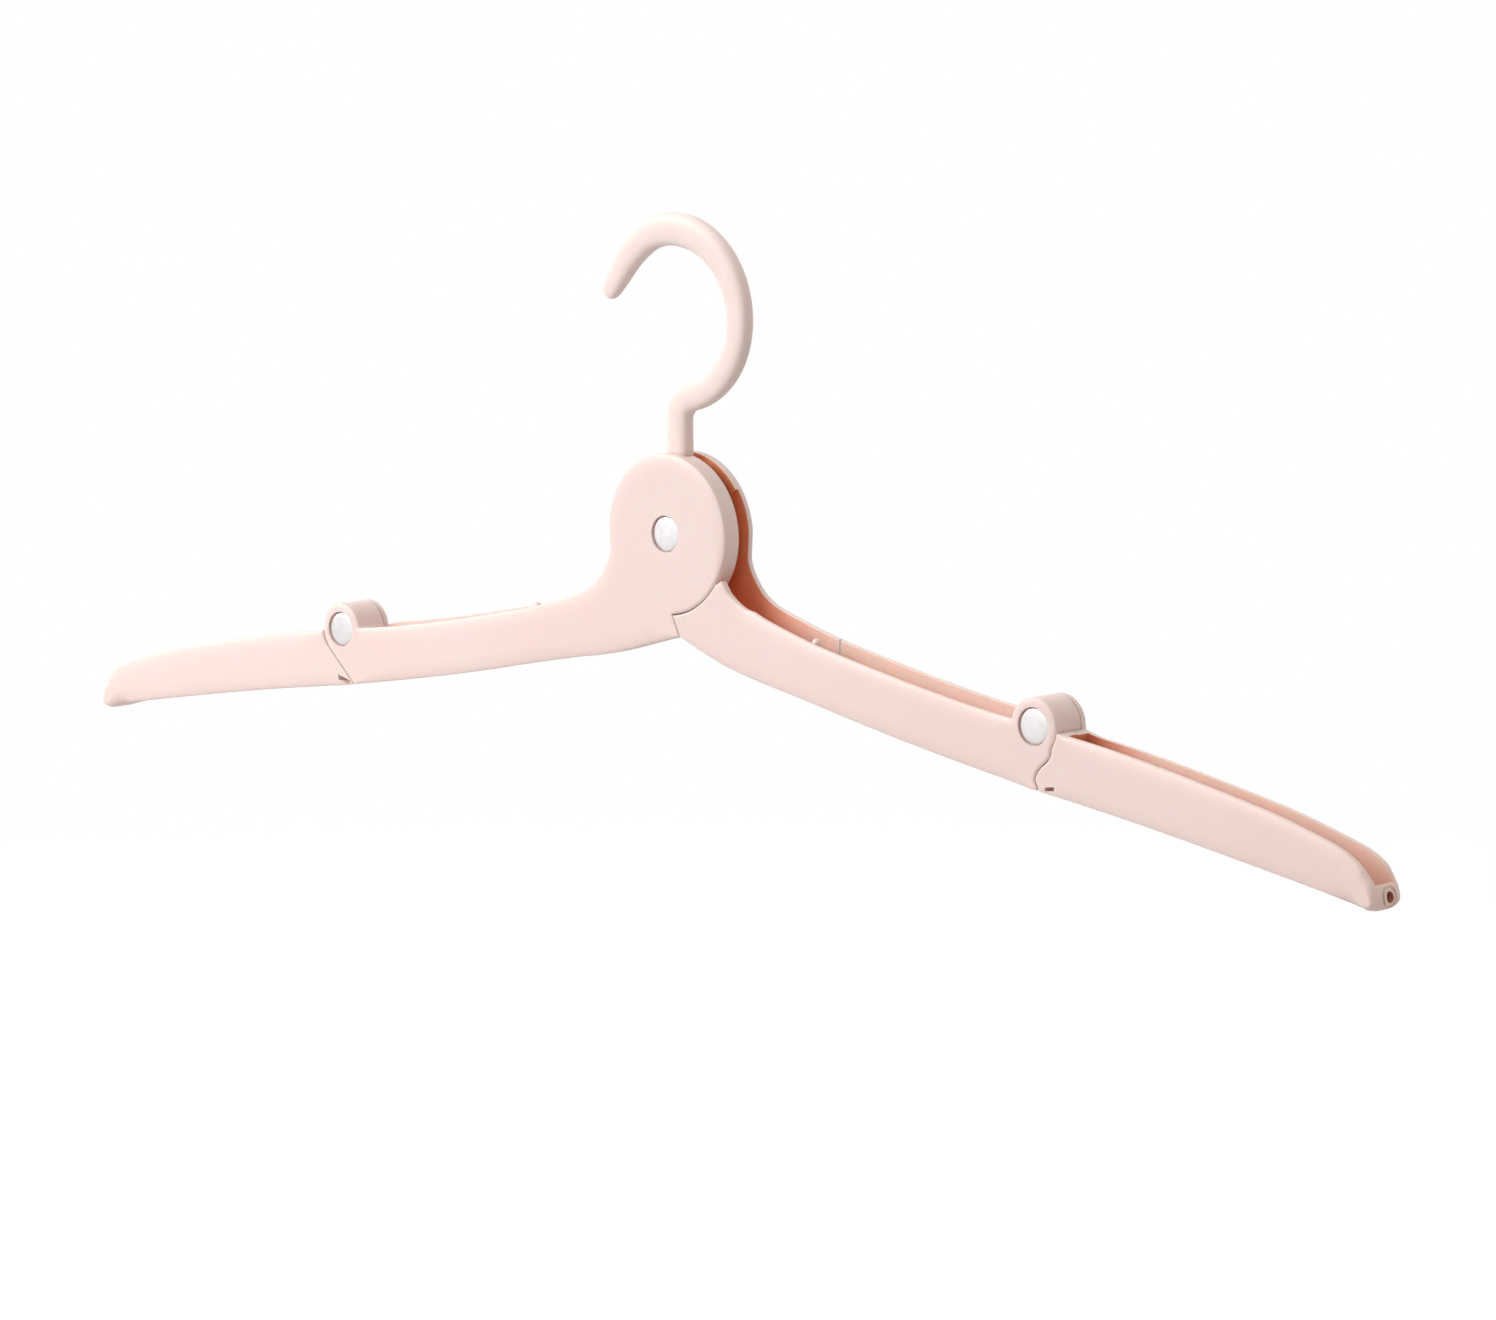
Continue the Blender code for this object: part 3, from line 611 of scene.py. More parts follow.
def pivot_seam(slanted):
    """(angle on the boss, points below it) about the pivot, from the boss to past the underside."""
    bottom = -PIVOT_HEIGHT - PAST
    if slanted:
        start = SLANT_FROM
        top = polar((0, 0), BOSS, start)
        run = (math.sin(math.radians(start)), -math.cos(math.radians(start)))
        reach = (bottom - top[1]) / run[1]
        return start, [top, (top[0] + run[0] * reach, bottom)]
    start = SWAY_FROM
    return start, [*flowing([polar((0, 0), BOSS, start), *SWAY], 3), (SWAY_FOOT, bottom)]


def beside(points, distance):
    """A line moved sideways, to its left, with mitred corners."""
    found = []
    for n, point in enumerate(points):
        normals = []
        for a, b in ((n - 1, n), (n, n + 1)):
            if a >= 0 and b < len(points):
                run = (points[b][0] - points[a][0], points[b][1] - points[a][1])
                size = math.hypot(*run)
                normals.append((-run[1] / size, run[0] / size))
        mean = [sum(v[k] for v in normals) / len(normals) for k in range(2)]
        stretch = distance / max(0.3, mean[0] ** 2 + mean[1] ** 2)
        found.append((point[0] + stretch * mean[0], point[1] + stretch * mean[1]))
    return found


def crossing(path, a, b):
    """(how many of the path's points come before it, the point) where the path crosses a to b."""
    for n, (p, q) in enumerate(zip(path, path[1:])):
        run, line = (q[0] - p[0], q[1] - p[1]), (b[0] - a[0], b[1] - a[1])
        cross = run[0] * line[1] - run[1] * line[0]
        if abs(cross) < 1e-9:
            continue  # the two run side by side
        t = ((a[0] - p[0]) * line[1] - (a[1] - p[1]) * line[0]) / cross
        s = ((a[0] - p[0]) * run[1] - (a[1] - p[1]) * run[0]) / cross
        if 0 <= t <= 1 and 0 <= s <= 1:
            return n + 1, (p[0] + run[0] * t, p[1] + run[1] * t)
    return len(path), path[-1]


print("the swaying seam has", len(pivot_seam(False)[1]), "points")

# %% [markdown]
# ## The arm's two outlines
#
# Seen from the front, the arm is two flat shapes, one behind the other. The long one has the whole
# hub disc. The short one stops at the other arm's disc, where it ends in a small rounded horn. Both
# are closed rings of points. They could be drawn as curve objects and filled, but the rim needs a
# number for each point of the ring, and that is easier with a plain list.

# %% The long and the short outline
HORN = 9.7
HORN_ROUND = 1.6
FLANK = (
    (17.2, -9.7), (18.7, -10.9), (21.6, -13.5), (25.1, -15.5), (29.3, -16.4), (34.2, -17.3),
    (39.0, -17.6),
)
NECK = ((18.75, -2.4), (18.68, -5.5))


def long_hub(edge):
    """Round the disc from the seam below it to the neck, where the open edge begins."""
    start = -90 - math.degrees(math.asin(HUB_SEAM[0][0] / DISC))
    disc = arc((0, 0), DISC, start, 4 - 360)
    neck = flowing([*disc[-2:], *NECK, *edge[:2]], 5)[6:-6]
    return [*disc, *neck, *edge]


def short_hub(edge):
    """Up the seam, along the other arm's disc, over the horn and down its flank."""
    seam = beside(HUB_SEAM, GAP)
    ring = DISC + GAP
    first = math.degrees(math.atan2(-math.sqrt(ring**2 - seam[0][0] ** 2), seam[0][0]))
    horn_out = math.sqrt(ring**2 - HORN**2)
    horn_low = HORN + HORN_ROUND / 2
    last = math.degrees(math.atan2(-horn_low, math.sqrt(ring**2 - horn_low**2)))
    notch = arc((0, 0), ring, first, last)
    horn = arc((horn_out + HORN_ROUND, -HORN - HORN_ROUND), HORN_ROUND, 150, 90, 12)
    flank = [p for p in flowing(FLANK) if p[0] > horn[-1][0] + 0.4 and p[1] < height_of(edge, p[0])]
    rest = [p for p in edge if p[0] > flank[-1][0] + 0.5]
    foot = (seam[1][0], seam[1][1] - 0.12)
    return [foot, *notch, *horn, *flank, *rest]


def arm_outline(long_wall, rear):
    """The whole ring: hub, open edge, boss, pivot seam and underside."""
    edge = arm_edge(RISE if rear else 0.0)
    _, seam = pivot_seam(slanted=long_wall)
    seam = moved(seam, *PIVOT)
    boss = arc(PIVOT, BOSS, 170, -34, 6)
    under = arm_under(long_wall)
    before, foot = crossing(under, seam[-2], seam[-1])
    hub, back = (long_hub if long_wall else short_hub)(edge), under[:before]
    if not long_wall:
        back = [p for p in back if p[0] > hub[0][0] + 0.5]
    return [*hub, *boss, *seam[:-1], foot, *back[::-1]]


for word, long_wall in (("long", True), ("short", False)):
    print("the", word, "outline has", len(arm_outline(long_wall, long_wall)), "points")

# %% [markdown]
# ## From an outline to a moulding with a soft rim
#
# The faces of the real mouldings are slightly pillowed: flat in the middle, and falling away over
# the last few millimetres to a fairly tight edge. A Bevel modifier makes only a round edge, and it
# stumbles where the outline is finely stepped. So the rim is built with the piece, as rings that
# step inwards along a quarter of a long ellipse. Along a seam the ellipse shrinks, because a
# moulder keeps a seam crisp, and at the nose of a tip it is deep, because the nose is round.

# %% The sizes of the rim
PILLOW = 4.2  # the rim's full width
WIDENING = 0.4  # of the rim, for each millimetre from a crisp path
EDGE_DROP = 0.42
DROP_PER_WIDTH = 0.09
ROUND_END_DROP = 4.6
ROUND_END_FADE = 0.7  # for each millimetre from the round end


def away(point, path):
    """How far a point is from a path."""
    least = 1e9
    for a, b in zip(path, path[1:]):
        run = (b[0] - a[0], b[1] - a[1])
        size = run[0] ** 2 + run[1] ** 2 or 1e-12
        t = max(0.0, min(1.0, ((point[0] - a[0]) * run[0] + (point[1] - a[1]) * run[1]) / size))
        least = min(least, math.dist(point, (a[0] + run[0] * t, a[1] + run[1] * t)))
    return least


def rim_sizes(outline, crisp, round_end=()):
    """(inset, drop) of the rim at each point: small along the crisp paths, and round at an end."""
    found = []
    for p in outline:
        inset = min([PILLOW, *(base + WIDENING * away(p, path) for path, base in crisp)])
        drop = min(inset, EDGE_DROP + DROP_PER_WIDTH * inset)
        if round_end:
            drop = max(drop, ROUND_END_DROP - ROUND_END_FADE * away(p, round_end))
        found.append((inset, drop))
    return found


print("the rim is up to", PILLOW, "mm wide, and grows by", WIDENING, "mm for each mm from a seam")

# %% [markdown]
# ## From a bmesh to a piece
#
# Every piece that is built by hand ends alike: its normals turn outwards, and it becomes a mesh with
# one finish, on an object in the scene. Bands of faces between two rings come back just as often.
# Blender's own bridge tool finds its pairs by itself, and here the pairs are known, so a short loop
# is surer.

# %% Bands and pieces
def band(build, low, high):
    """Faces of four corners between two closed rings with as many points."""
    for n in range(len(low)):
        m = (n + 1) % len(low)
        build.faces.new((low[n], low[m], high[m], high[n]))


def piece_from(build, name, finish):
    """Turns a bmesh into an object with this finish."""
    bmesh.ops.recalc_face_normals(build, faces=build.faces)
    mesh = bpy.data.meshes.new(name)
    build.to_mesh(mesh)
    build.free()
    mesh.materials.append(finish)
    piece = bpy.data.objects.new(name, mesh)
    bpy.context.scene.collection.objects.link(piece)
    return piece


print("two helpers for meshes: band and piece_from")

# %% [markdown]
# ## The soft-rimmed moulding
#
# Now an outline becomes a solid. Its first ring lies on the middle plane. The others step up and
# inwards along the rim's quarter ellipse, more closely where the curve is tight. Inwards is found at
# each point from the directions of its two sides, so a corner moves along its mitre.

# %% The soft-rimmed moulding
RIM_TURNS = (0, 9, 20, 34, 50, 69, 90)


def inward(outline):
    """For each point, the step that moves both its sides inwards by one."""
    area = sum(a[0] * b[1] - b[0] * a[1] for a, b in zip(outline, outline[1:] + outline[:1]))
    turn = 1 if area > 0 else -1
    found = []
    for n, point in enumerate(outline):
        normals = []
        for a, b in ((outline[n - 1], point), (point, outline[(n + 1) % len(outline)])):
            size = math.dist(a, b)
            normals.append((-(b[1] - a[1]) * turn / size, (b[0] - a[0]) * turn / size))
        mean = [(normals[0][k] + normals[1][k]) / 2 for k in range(2)]
        square = max(0.35, mean[0] ** 2 + mean[1] ** 2)
        found.append((mean[0] / square, mean[1] / square))
    return found


def soft_moulding(name, side, outline, sizes, inner, outer):
    """A closed solid from the depth inner to the depth outer, with its rim rounded at outer."""
    steps = inward(outline)
    toward = 1 if outer > inner else -1
    build = bmesh.new()
    rings = [[build.verts.new(place(side, out, inner, up)) for out, up in outline]]
    for degrees in RIM_TURNS:
        turn = math.radians(degrees)
        ring = []
        for (out, up), step, (inset, drop) in zip(outline, steps, sizes):
            move = inset * (1 - math.cos(turn))
            depth = outer - toward * drop * (1 - math.sin(turn))
            spot = place(side, out + step[0] * move, depth, up + step[1] * move)
            ring.append(build.verts.new(spot))
        rings.append(ring)
    for low, high in zip(rings, rings[1:]):
        band(build, low, high)
    build.faces.new(rings[0])
    build.faces.new(rings[-1])
    return piece_from(build, name, OUTSIDE)


print("the rim is rounded in", len(RIM_TURNS) - 1, "steps")

# %% [markdown]
# ## Cutting and joining
#
# The channel, the hub's hollow and the rivet seats are cut with the Boolean modifier, whose exact
# solver takes faces of many corners. A cutter carries a finish of its own, and the faces that it
# leaves take it along: that is how the inside gets its painted shade, a deeper pink. Each result is
# baked into a plain mesh at once, so that no modifier is left to depend on a hidden cutter.

# %% Cutters and baking
SEAT_DEEP = 1.1  # of a rivet head's seat


def prism(name, side, outline, near, far, finish=OUTSIDE):
    """An outline that reaches straight from one depth to another."""
    build = bmesh.new()
    front = [build.verts.new(place(side, out, near, up)) for out, up in outline]
    back = [build.verts.new(place(side, out, far, up)) for out, up in outline]
    build.faces.new(front)
    build.faces.new(back)
    band(build, front, back)
    return piece_from(build, name, finish)


def peg(name, side, centre, radius, near, far, finish=OUTSIDE):
    """A round prism."""
    return prism(name, side, arc(centre, radius, 2.5, 362.5, 5)[:-1], near, far, finish)


def bake(target, helpers, operation="DIFFERENCE"):
    """Applies one Boolean for each helper, then removes the helpers."""
    for helper in helpers:
        modifier = target.modifiers.new(helper.name, "BOOLEAN")
        modifier.operation = operation
        modifier.solver = "EXACT"
        modifier.material_mode = "TRANSFER"
        modifier.object = helper
    bpy.context.view_layer.update()
    graph = bpy.context.evaluated_depsgraph_get()
    baked = bpy.data.meshes.new_from_object(target.evaluated_get(graph))
    target.modifiers.clear()
    target.data = baked
    for helper in helpers:
        bpy.data.objects.remove(helper, do_unlink=True)
    return target


def rivet_room(side, centre, head, shank, faces):
    """Cutters for a rivet's bore and its sunk seats."""
    found = [peg("bore", side, centre, shank + GAP, -HALF - PAST, HALF + PAST)]
    for face in faces:
        near, far = sorted((face * (HALF - SEAT_DEEP), face * (HALF + PAST)))
        found.append(peg("seat", side, centre, head + GAP, near, far))
    return found


print("a rivet's seat is cut", SEAT_DEEP, "mm deep")

# %% [markdown]
# ## The hollows of an arm
#
# Inside, the arm is a channel that opens at the top and runs into the round hollow of the hub. On
# the side away from the arm the disc keeps a skirt, which hides the rivet's works. Beside the stem
# of the hook the rim is open, with a thicker lip, so that the stem has room while the arm folds up.

# %% The arm's hollow
SKIRT = 1.8  # thickness of the skirt round the hub
SKIRT_FOOT = -62  # degrees, as the next one and the lip's end
SKIRT_END = 104
LIP = 1.0
LIP_END = 36


def arm_hollow(side):
    """Cutters for the channel with the hub's hollow, and for the stem's room."""
    cavity = DISC - SKIRT
    end = PIVOT[0] - BOSS - GAP - WALL / 4
    rim = arc((0, 0), DISC + PAST, LIP_END, 4)
    above = [p for p in moved(arm_edge(0.0), PAST, PAST) if p[0] < end]
    floor = [p for p in moved(arm_under(True), 0, FLOOR) if cavity < p[0] < end]
    round_hub = arc((0, 0), cavity, SKIRT_FOOT, LIP_END - 360)
    outline = [*rim, *above, (end, above[-1][1]), (end, floor[-1][1]), *floor[::-1], *round_hub]
    # The channel's and the stem room's cut faces take the inside's painted shade, deep red near the
    # hub.
    channel = prism("channel", side, outline, WALL - HALF, HALF - WALL, INSIDE_SHADE[side])
    inner = arc((0, 0), cavity - GAP, SKIRT_END, LIP_END - GAP)
    outer = arc((0, 0), DISC + PAST, LIP_END, SKIRT_END)
    deep = HALF - WALL - LIP
    room = prism("stem_room", side, [*inner, *outer], -deep, deep, INSIDE_SHADE[side])
    return [channel, room]


print("the skirt goes from", SKIRT_END, "to", 360 + SKIRT_FOOT, "degrees round the hub")


# %% [markdown]
# ## Small details inside the arm
#
# Halfway along each arm a small nub stands behind the front wall and shows above its edge: it holds
# the folded tip. It leans into the channel, so it is made of two balls, the upper one further in. A
# thin key on the rear wall beside it is a bar with round ends. All sink into the wall. A Boolean
# union could join them to it, but bodies that only overlap look the same and can't fail.

# %% The catch and the key
CATCH_FROM_PIVOT = 67.7
KEY_FROM_PIVOT = 66.2
CATCH_ROUND = 1.0
CATCH_BALLS = ((0.35, -1.35), (1.05, -0.05))  # inwards from the wall, and up from its edge
KEY_ROUND = 0.34
KEY_LONG = 3.4


def pill(centre, radius, length, direction, rings=8, around=16):
    """Points and faces of a round-ended bar that lies along the depth or the height."""
    points, faces = [], []
    for k in range(rings + 1):
        turn = math.pi * k / rings - math.pi / 2
        along = radius * math.sin(turn) + (length / 2 if turn > 0 else -length / 2)
        for n in range(around):
            swing = 2 * math.pi * n / around
            wide = max(1e-3, radius * math.cos(turn))
            across = (wide * math.cos(swing), wide * math.sin(swing))
            if direction == "depth":
                points.append((centre[0] + across[0], centre[1] + along, centre[2] + across[1]))
            else:
                points.append((centre[0] + across[0], centre[1] + across[1], centre[2] + along))
    for k in range(rings):
        for n in range(around):
            m, low, high = (n + 1) % around, k * around, (k + 1) * around
            faces.append((low + n, low + m, high + m, high + n))
    faces.append(tuple(range(around))[::-1])
    faces.append(tuple(rings * around + n for n in range(around)))
    return points, faces


def add_shell(obj, side, points, faces):
    """Adds a small closed body, drawn in (out, depth, up), to a piece."""
    build = bmesh.new()
    build.from_mesh(obj.data)
    verts = [build.verts.new(place(side, *p)) for p in points]
    made = [build.faces.new([verts[n] for n in face]) for face in faces]
    bmesh.ops.recalc_face_normals(build, faces=made)
    build.to_mesh(obj.data)
    build.free()


def catch_and_key(obj, side):
    out = PIVOT[0] - CATCH_FROM_PIVOT
    up = height_of(arm_edge(0.0), out)
    for inwards, over in CATCH_BALLS:
        ball = pill((out, WALL - HALF + inwards, up + over), CATCH_ROUND, 0.05, "depth")
        add_shell(obj, side, *ball)
    key_out = PIVOT[0] - KEY_FROM_PIVOT
    key_up = height_of(arm_edge(RISE), key_out)
    key = pill((key_out, HALF - WALL + 0.1, key_up - 1.8), KEY_ROUND, KEY_LONG, "height")
    add_shell(obj, side, *key)


print("the catch stands", CATCH_FROM_PIVOT, "mm from the pivot")

# %% [markdown]
# ## Finishing a moulding
#
# The inner edges of the channel are eased a little, because no mould leaves a knife edge. A Bevel
# modifier would ease every sharp edge, so the tool is run on chosen ones. Then comes the shading:
# faces that turn gently are shaded as one, and an edge sharper than 35 degrees stays an edge. A
# Weighted Normal modifier lets the large flat faces rule the shading, or else the light would smear
# from the rim across them.

# %% Edges and shading
WELD = 0.004
SHARP = 35  # degrees
EASE = 0.3


def ease_edges(obj, depth, width):
    """Rounds the convex edges that lie at this distance from the middle plane."""
    build = bmesh.new()
    build.from_mesh(obj.data)
    bmesh.ops.remove_doubles(build, verts=build.verts, dist=WELD * MM)
    bmesh.ops.dissolve_degenerate(build, edges=build.edges, dist=WELD * MM)
    chosen = []
    for edge in build.edges:
        if len(edge.link_faces) != 2 or not edge.is_convex:
            continue
        if all(abs(abs(v.co.y) - depth * MM) < 0.01 * MM for v in edge.verts):
            if edge.calc_face_angle(0) > math.radians(50) and edge.calc_length() > 0.1 * MM:
                chosen.append(edge)
    bmesh.ops.bevel(
        build, geom=chosen, offset=width * MM, segments=2, profile=0.5, affect="EDGES",
        clamp_overlap=True,
    )
    build.to_mesh(obj.data)
    build.free()
    return len(chosen)


def settle_shading(obj, sharp=SHARP):
    obj.data.shade_smooth()
    obj.data.set_sharp_from_angle(angle=math.radians(sharp))
    weighted = obj.modifiers.new("flat_faces_rule", "WEIGHTED_NORMAL")
    weighted.mode = "FACE_AREA"
    weighted.weight = 90
    weighted.keep_sharp = True


def hand_over(obj, node, body):
    """The piece moves with this body and stands for this solid."""
    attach(obj, body)
    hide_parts(node)


print("edges sharper than", SHARP, "degrees stay sharp, and inner ones are eased by", EASE, "mm")

# %% [markdown]
# ## The two arms
#
# Each arm is two soft-rimmed mouldings, front and rear, joined at the middle plane and then
# hollowed. A real arm is moulded in one, but its front and its rear outline differ, so one outline
# could never give both. The left arm has its long wall in front, with the disc that shows, and the
# right arm has it at the rear.

# %% Build the arms
HEAD = 4.1
HUB_SHANK = 2.0
ARM_SHANK = 1.8


def crisp_paths(long_wall):
    """Where the rim is tight: (path, the rim's width there)."""
    _, seam = pivot_seam(slanted=long_wall)
    paths = [
        (moved(seam, *PIVOT), 0.8),
        (arc(PIVOT, BOSS, 180, -40), 1.7),
        (moved(seam[-2:], *PIVOT), 0.35),
    ]
    if long_wall:
        mirrored = [(-out, up) for out, up in HUB_SEAM]
        return [*paths, (mirrored, 0.5), (arc((0, 0), DISC, -96, -149), 0.9)]
    notch = arc((0, 0), DISC + GAP, -84, -31)
    horn = [(16.5, -HORN), (18.7, -HORN - 0.8)]
    return [*paths, (HUB_SEAM, 0.5), (notch, 0.6), (horn, 0.35)]


def build_arm(name, side, disc_half, body):
    join = disc_half * GAP / 2
    halves = []
    for half in (-1, 1):
        long_wall = half == disc_half
        outline = arm_outline(long_wall, rear=half > 0)
        sizes = rim_sizes(outline, crisp_paths(long_wall))
        halves.append(soft_moulding(f"{name}_{half}", side, outline, sizes, join, half * HALF))
    arm = bake(halves[0], [halves[1]], "UNION")
    arm.name = name
    cutters = arm_hollow(side)
    cutters.append(peg("pocket", side, PIVOT, BOSS + GAP, HALF - EAR - GAP, HALF + PAST))
    cutters += rivet_room(side, (0, 0), HEAD, HUB_SHANK, (disc_half,))
    cutters += rivet_room(side, PIVOT, HEAD, ARM_SHANK, (-1,))
    bake(arm, cutters)
    eased = ease_edges(arm, HALF - WALL, EASE)
    catch_and_key(arm, side)
    settle_shading(arm)
    hand_over(arm, name.replace("_visual", ""), body)
    print(name, len(arm.data.polygons), "faces,", eased, "edges eased")


build_arm("left_inner_arm_visual", -1, -1, "left_arm")
build_arm("right_inner_arm_visual", 1, 1, "right_arm")

# %% [markdown]
# ## The tips' outlines
#
# A tip is the same kind of channel, narrowing to a rounded nose. Behind the arm's boss it has an
# ear that goes round the rivet, so its rear outline is larger than its front one, which leaves room
# for the boss. The open edge and the seam come from the arm's own lines, so they always meet it.
# Only the nose and the underside are drawn for the tip alone.

# %% The tip's outlines
NOSE = (
    (91.9, -22.61), (93.3, -24.5), (94.2, -26.7), (94.2, -28.5), (93.0, -29.8), (91.0, -29.8),
    (87.2, -28.4),
)
TIP_UNDER = (
    (87.2, -28.33), (75.0, -26.08), (60.5, -23.59), (44.1, -20.82), (25.0, -17.82), (0.0, -14.30),
)


def tip_under():
    """From the nose back to past the pivot, where it follows the arm."""
    curve = moved(flowing(TIP_UNDER, 4), *PIVOT)
    shared = [p for p in arm_under(True)[::-1] if PIVOT[0] - 2 * BOSS < p[0] < PIVOT[0] - 0.5]
    return [*curve, *shared]


def tip_outline(slanted, rear):
    """The whole ring: ear or room for the boss, open edge, nose, underside and seam."""
    start, seam = pivot_seam(slanted)
    seam = moved(beside(seam, GAP), *PIVOT)
    edge = tip_edge(RISE if rear else 0.0)
    edge = [p for p in edge if p[0] < PIVOT[0] + 91.0]
    nose = moved(flowing(NOSE)[3:-6], *PIVOT)
    under = tip_under()
    before, foot = crossing(under, seam[-2], seam[-1])
    line = [foot, *seam[1:-1][::-1]]
    lower = [p for p in under[1:before] if math.dist(p, foot) > 2.4]
    if rear:
        ear = arc(PIVOT, BOSS, start, -354, 6)
        first = [p for p in edge if p[0] > PIVOT[0] + BOSS + 0.1]
        return [*ear, *first, *nose, *lower, *line]
    room = arc(PIVOT, BOSS + GAP, start + 2, -8, 6)
    first = [p for p in edge if p[0] > PIVOT[0] + BOSS + GAP + 0.1]
    return [*room, *first, *nose, *lower, *line]


for word, rear in (("front", False), ("rear", True)):
    print("the tip's", word, "outline has", len(tip_outline(True, rear)), "points")

# %% [markdown]
# ## The tip's channel and slot
#
# The channel follows the tip's own underside, a floor's thickness above it, and opens towards the
# nose. Low beside the seam lies a short slot, such as a slide of the mould leaves. It is longer and
# slopes on the left tip, whose front seam is slanted, and short on the right one. Channel and slot
# could be built into the outline, but as cuts they can be changed by themselves.

# %% The tip's hollow and its slot
SLOT_DEEP = 2.4
SLOT_FROM_SEAM = 2.3
SLANTED_SLOT = (4.4, 1.2, -0.3, 1.3)  # length, rise, height over the underside, and width
SWAYING_SLOT = (2.7, 0.35, 0.6, 0.9)
MOUTH_UP = -24.5  # the lower edge of the channel's mouth


def tip_hollow(side):
    room = BOSS + GAP + WALL
    inset = PIVOT[0] + REACH - WALL
    round_boss = arc(PIVOT, room, 41.5, -50)
    under = moved(tip_under()[::-1], 0, FLOOR)
    floor = [p for p in under if round_boss[-1][0] < p[0] < inset - FLOOR]
    end = [(inset - FLOOR / 2, floor[-1][1]), (inset, floor[-1][1] + FLOOR / 2)]
    first, last = room + 0.4, REACH - 2 * WALL
    above = [p for p in moved(tip_edge(0.0), 0, PAST) if first < p[0] - PIVOT[0] < last]
    past, mouth = PIVOT[0] + REACH + PAST, PIVOT[1] + MOUTH_UP
    opening = [(inset, mouth), (past, mouth), (past, above[-1][1])]
    outline = [*round_boss, *floor, *end, *opening, *above[::-1]]
    # The channel's cut faces take the tip's painted shade, warm brown beside the pivot.
    return prism("channel", side, outline, WALL - HALF, HALF - WALL, TIP_SHADE[side])


def tip_slot(side, slanted):
    """A slot low on the front wall beside the seam's foot."""
    run, rise, lift, tall = SLANTED_SLOT if slanted else SWAYING_SLOT
    _, seam = pivot_seam(slanted)
    _, foot = crossing([(-20, -PIVOT_HEIGHT), (20, -PIVOT_HEIGHT)], seam[-2], seam[-1])
    start = PIVOT[0] + foot[0] + SLOT_FROM_SEAM
    end, low = start + run, height_of(tip_under(), start) + lift
    outline = [(start, low), (end, low + rise), (end, low + rise + tall), (start, low + tall)]
    return prism("slot", side, outline, -HALF - PAST, SLOT_DEEP - HALF)


print("the slots are", SLANTED_SLOT[0], "and", SWAYING_SLOT[0], "mm long")

# %% [markdown]
# ## The eyelet in the nose
#
# In the blunt end of each nose there is an eyelet: a round hole with a raised ring about it. A ring
# could be added on top, but it would stand out past the nose. So a groove is cut round the hole,
# and what stays between the two is the ring. The groove needs a pipe as its cutter, so the drill
# takes one radius or two.

# %% The eyelet
EYELET_UP = -27.0
EYELET_HOLE = 1.25
EYELET_GROOVE = (1.9, 2.6)  # its inner and outer radius
EYELET_DEPTH = 0.2


def drill(name, side, near, far, up, rings, finish):
    """A round bar, or a pipe for two radii, that lies along the hanger."""
    build = bmesh.new()
    around = 32
    loops = []
    for radius in rings:
        for out in (near, far):
            loop = []
            for n in range(around):
                turn = 2 * math.pi * (n + 0.5) / around
                across, along = radius * math.cos(turn), radius * math.sin(turn)
                loop.append(build.verts.new(place(side, out, EYELET_DEPTH + across, up + along)))
            loops.append(loop)
    if len(rings) == 1:
        band(build, loops[0], loops[1])
        build.faces.new(loops[0])
        build.faces.new(loops[1])
    else:
        for a, b in ((0, 1), (2, 3), (0, 2), (1, 3)):
            band(build, loops[a], loops[b])
    return piece_from(build, name, finish)


def nose_eyelet(side):
    """The hole through the nose, and the groove that leaves a ring round it."""
    nose = PIVOT[0] + NOSE[2][0]
    up = PIVOT[1] + EYELET_UP
    # The hole takes a painted dark shade, and the groove the tip's pale painted shade.
    hole = drill("eyelet", side, nose - WALL - 1.8, nose + PAST, up, (EYELET_HOLE,), EYELET_SHADE[side])
    groove = drill("groove", side, nose - 0.9, nose + PAST, up, EYELET_GROOVE, TIP_SHADE[side])
    return [hole, groove]


print("the eyelet's hole is", 2 * EYELET_HOLE, "mm across")

# %% [markdown]
# ## Build the tips
#
# A tip is built as the arms are: two halves, joined, then cut, eased and shaded. Its rims need more
# care. They are crisp at the seam, tight round the ear, and deep and round at the nose. A rim that
# is wider than its outline's tightest bend would fold over itself, so those places get a narrow one.

# %% Build the tips
def tip_crisp_paths(slanted, rear):
    """Where the tip's rim is tight: (path, the rim's width there)."""
    start, seam = pivot_seam(slanted)
    seam = moved(beside(seam, GAP), *PIVOT)
    nose = moved(flowing(NOSE[1:6]), *PIVOT)
    if rear:
        ear = [(arc(PIVOT, BOSS, 0, 180), 1.7), (arc(PIVOT, BOSS, -6, 12), 0.8)]
    else:
        ear = [(arc(PIVOT, BOSS + GAP, start, 0), 0.5)]
    return [(seam, 0.8), (nose, 1.7), *ear]


def build_tip(name, side, disc_half, body):
    halves = []
    round_end = moved(flowing(NOSE[2:5]), *PIVOT)
    for half in (-1, 1):
        slanted, rear = half == disc_half, half > 0
        outline = tip_outline(slanted, rear)
        sizes = rim_sizes(outline, tip_crisp_paths(slanted, rear), round_end)
        halves.append(soft_moulding(f"{name}_{half}", side, outline, sizes, 0.0, half * HALF))
    tip = bake(halves[0], [halves[1]], "UNION")
    tip.name = name
    boss_room = peg("boss_room", side, PIVOT, BOSS + GAP, -HALF - PAST, HALF - EAR)
    cutters = [boss_room, tip_hollow(side), tip_slot(side, slanted=disc_half < 0)]
    cutters += nose_eyelet(side)
    cutters += rivet_room(side, PIVOT, HEAD, ARM_SHANK, (1,))
    bake(tip, cutters)
    eased = ease_edges(tip, HALF - WALL, EASE)
    settle_shading(tip)
    hand_over(tip, name.replace("_visual", ""), body)
    print(name, len(tip.data.polygons), "faces,", eased, "edges eased")


build_tip("left_outer_arm_visual", -1, -1, "left_tip")
build_tip("right_outer_arm_visual", 1, 1, "right_tip")

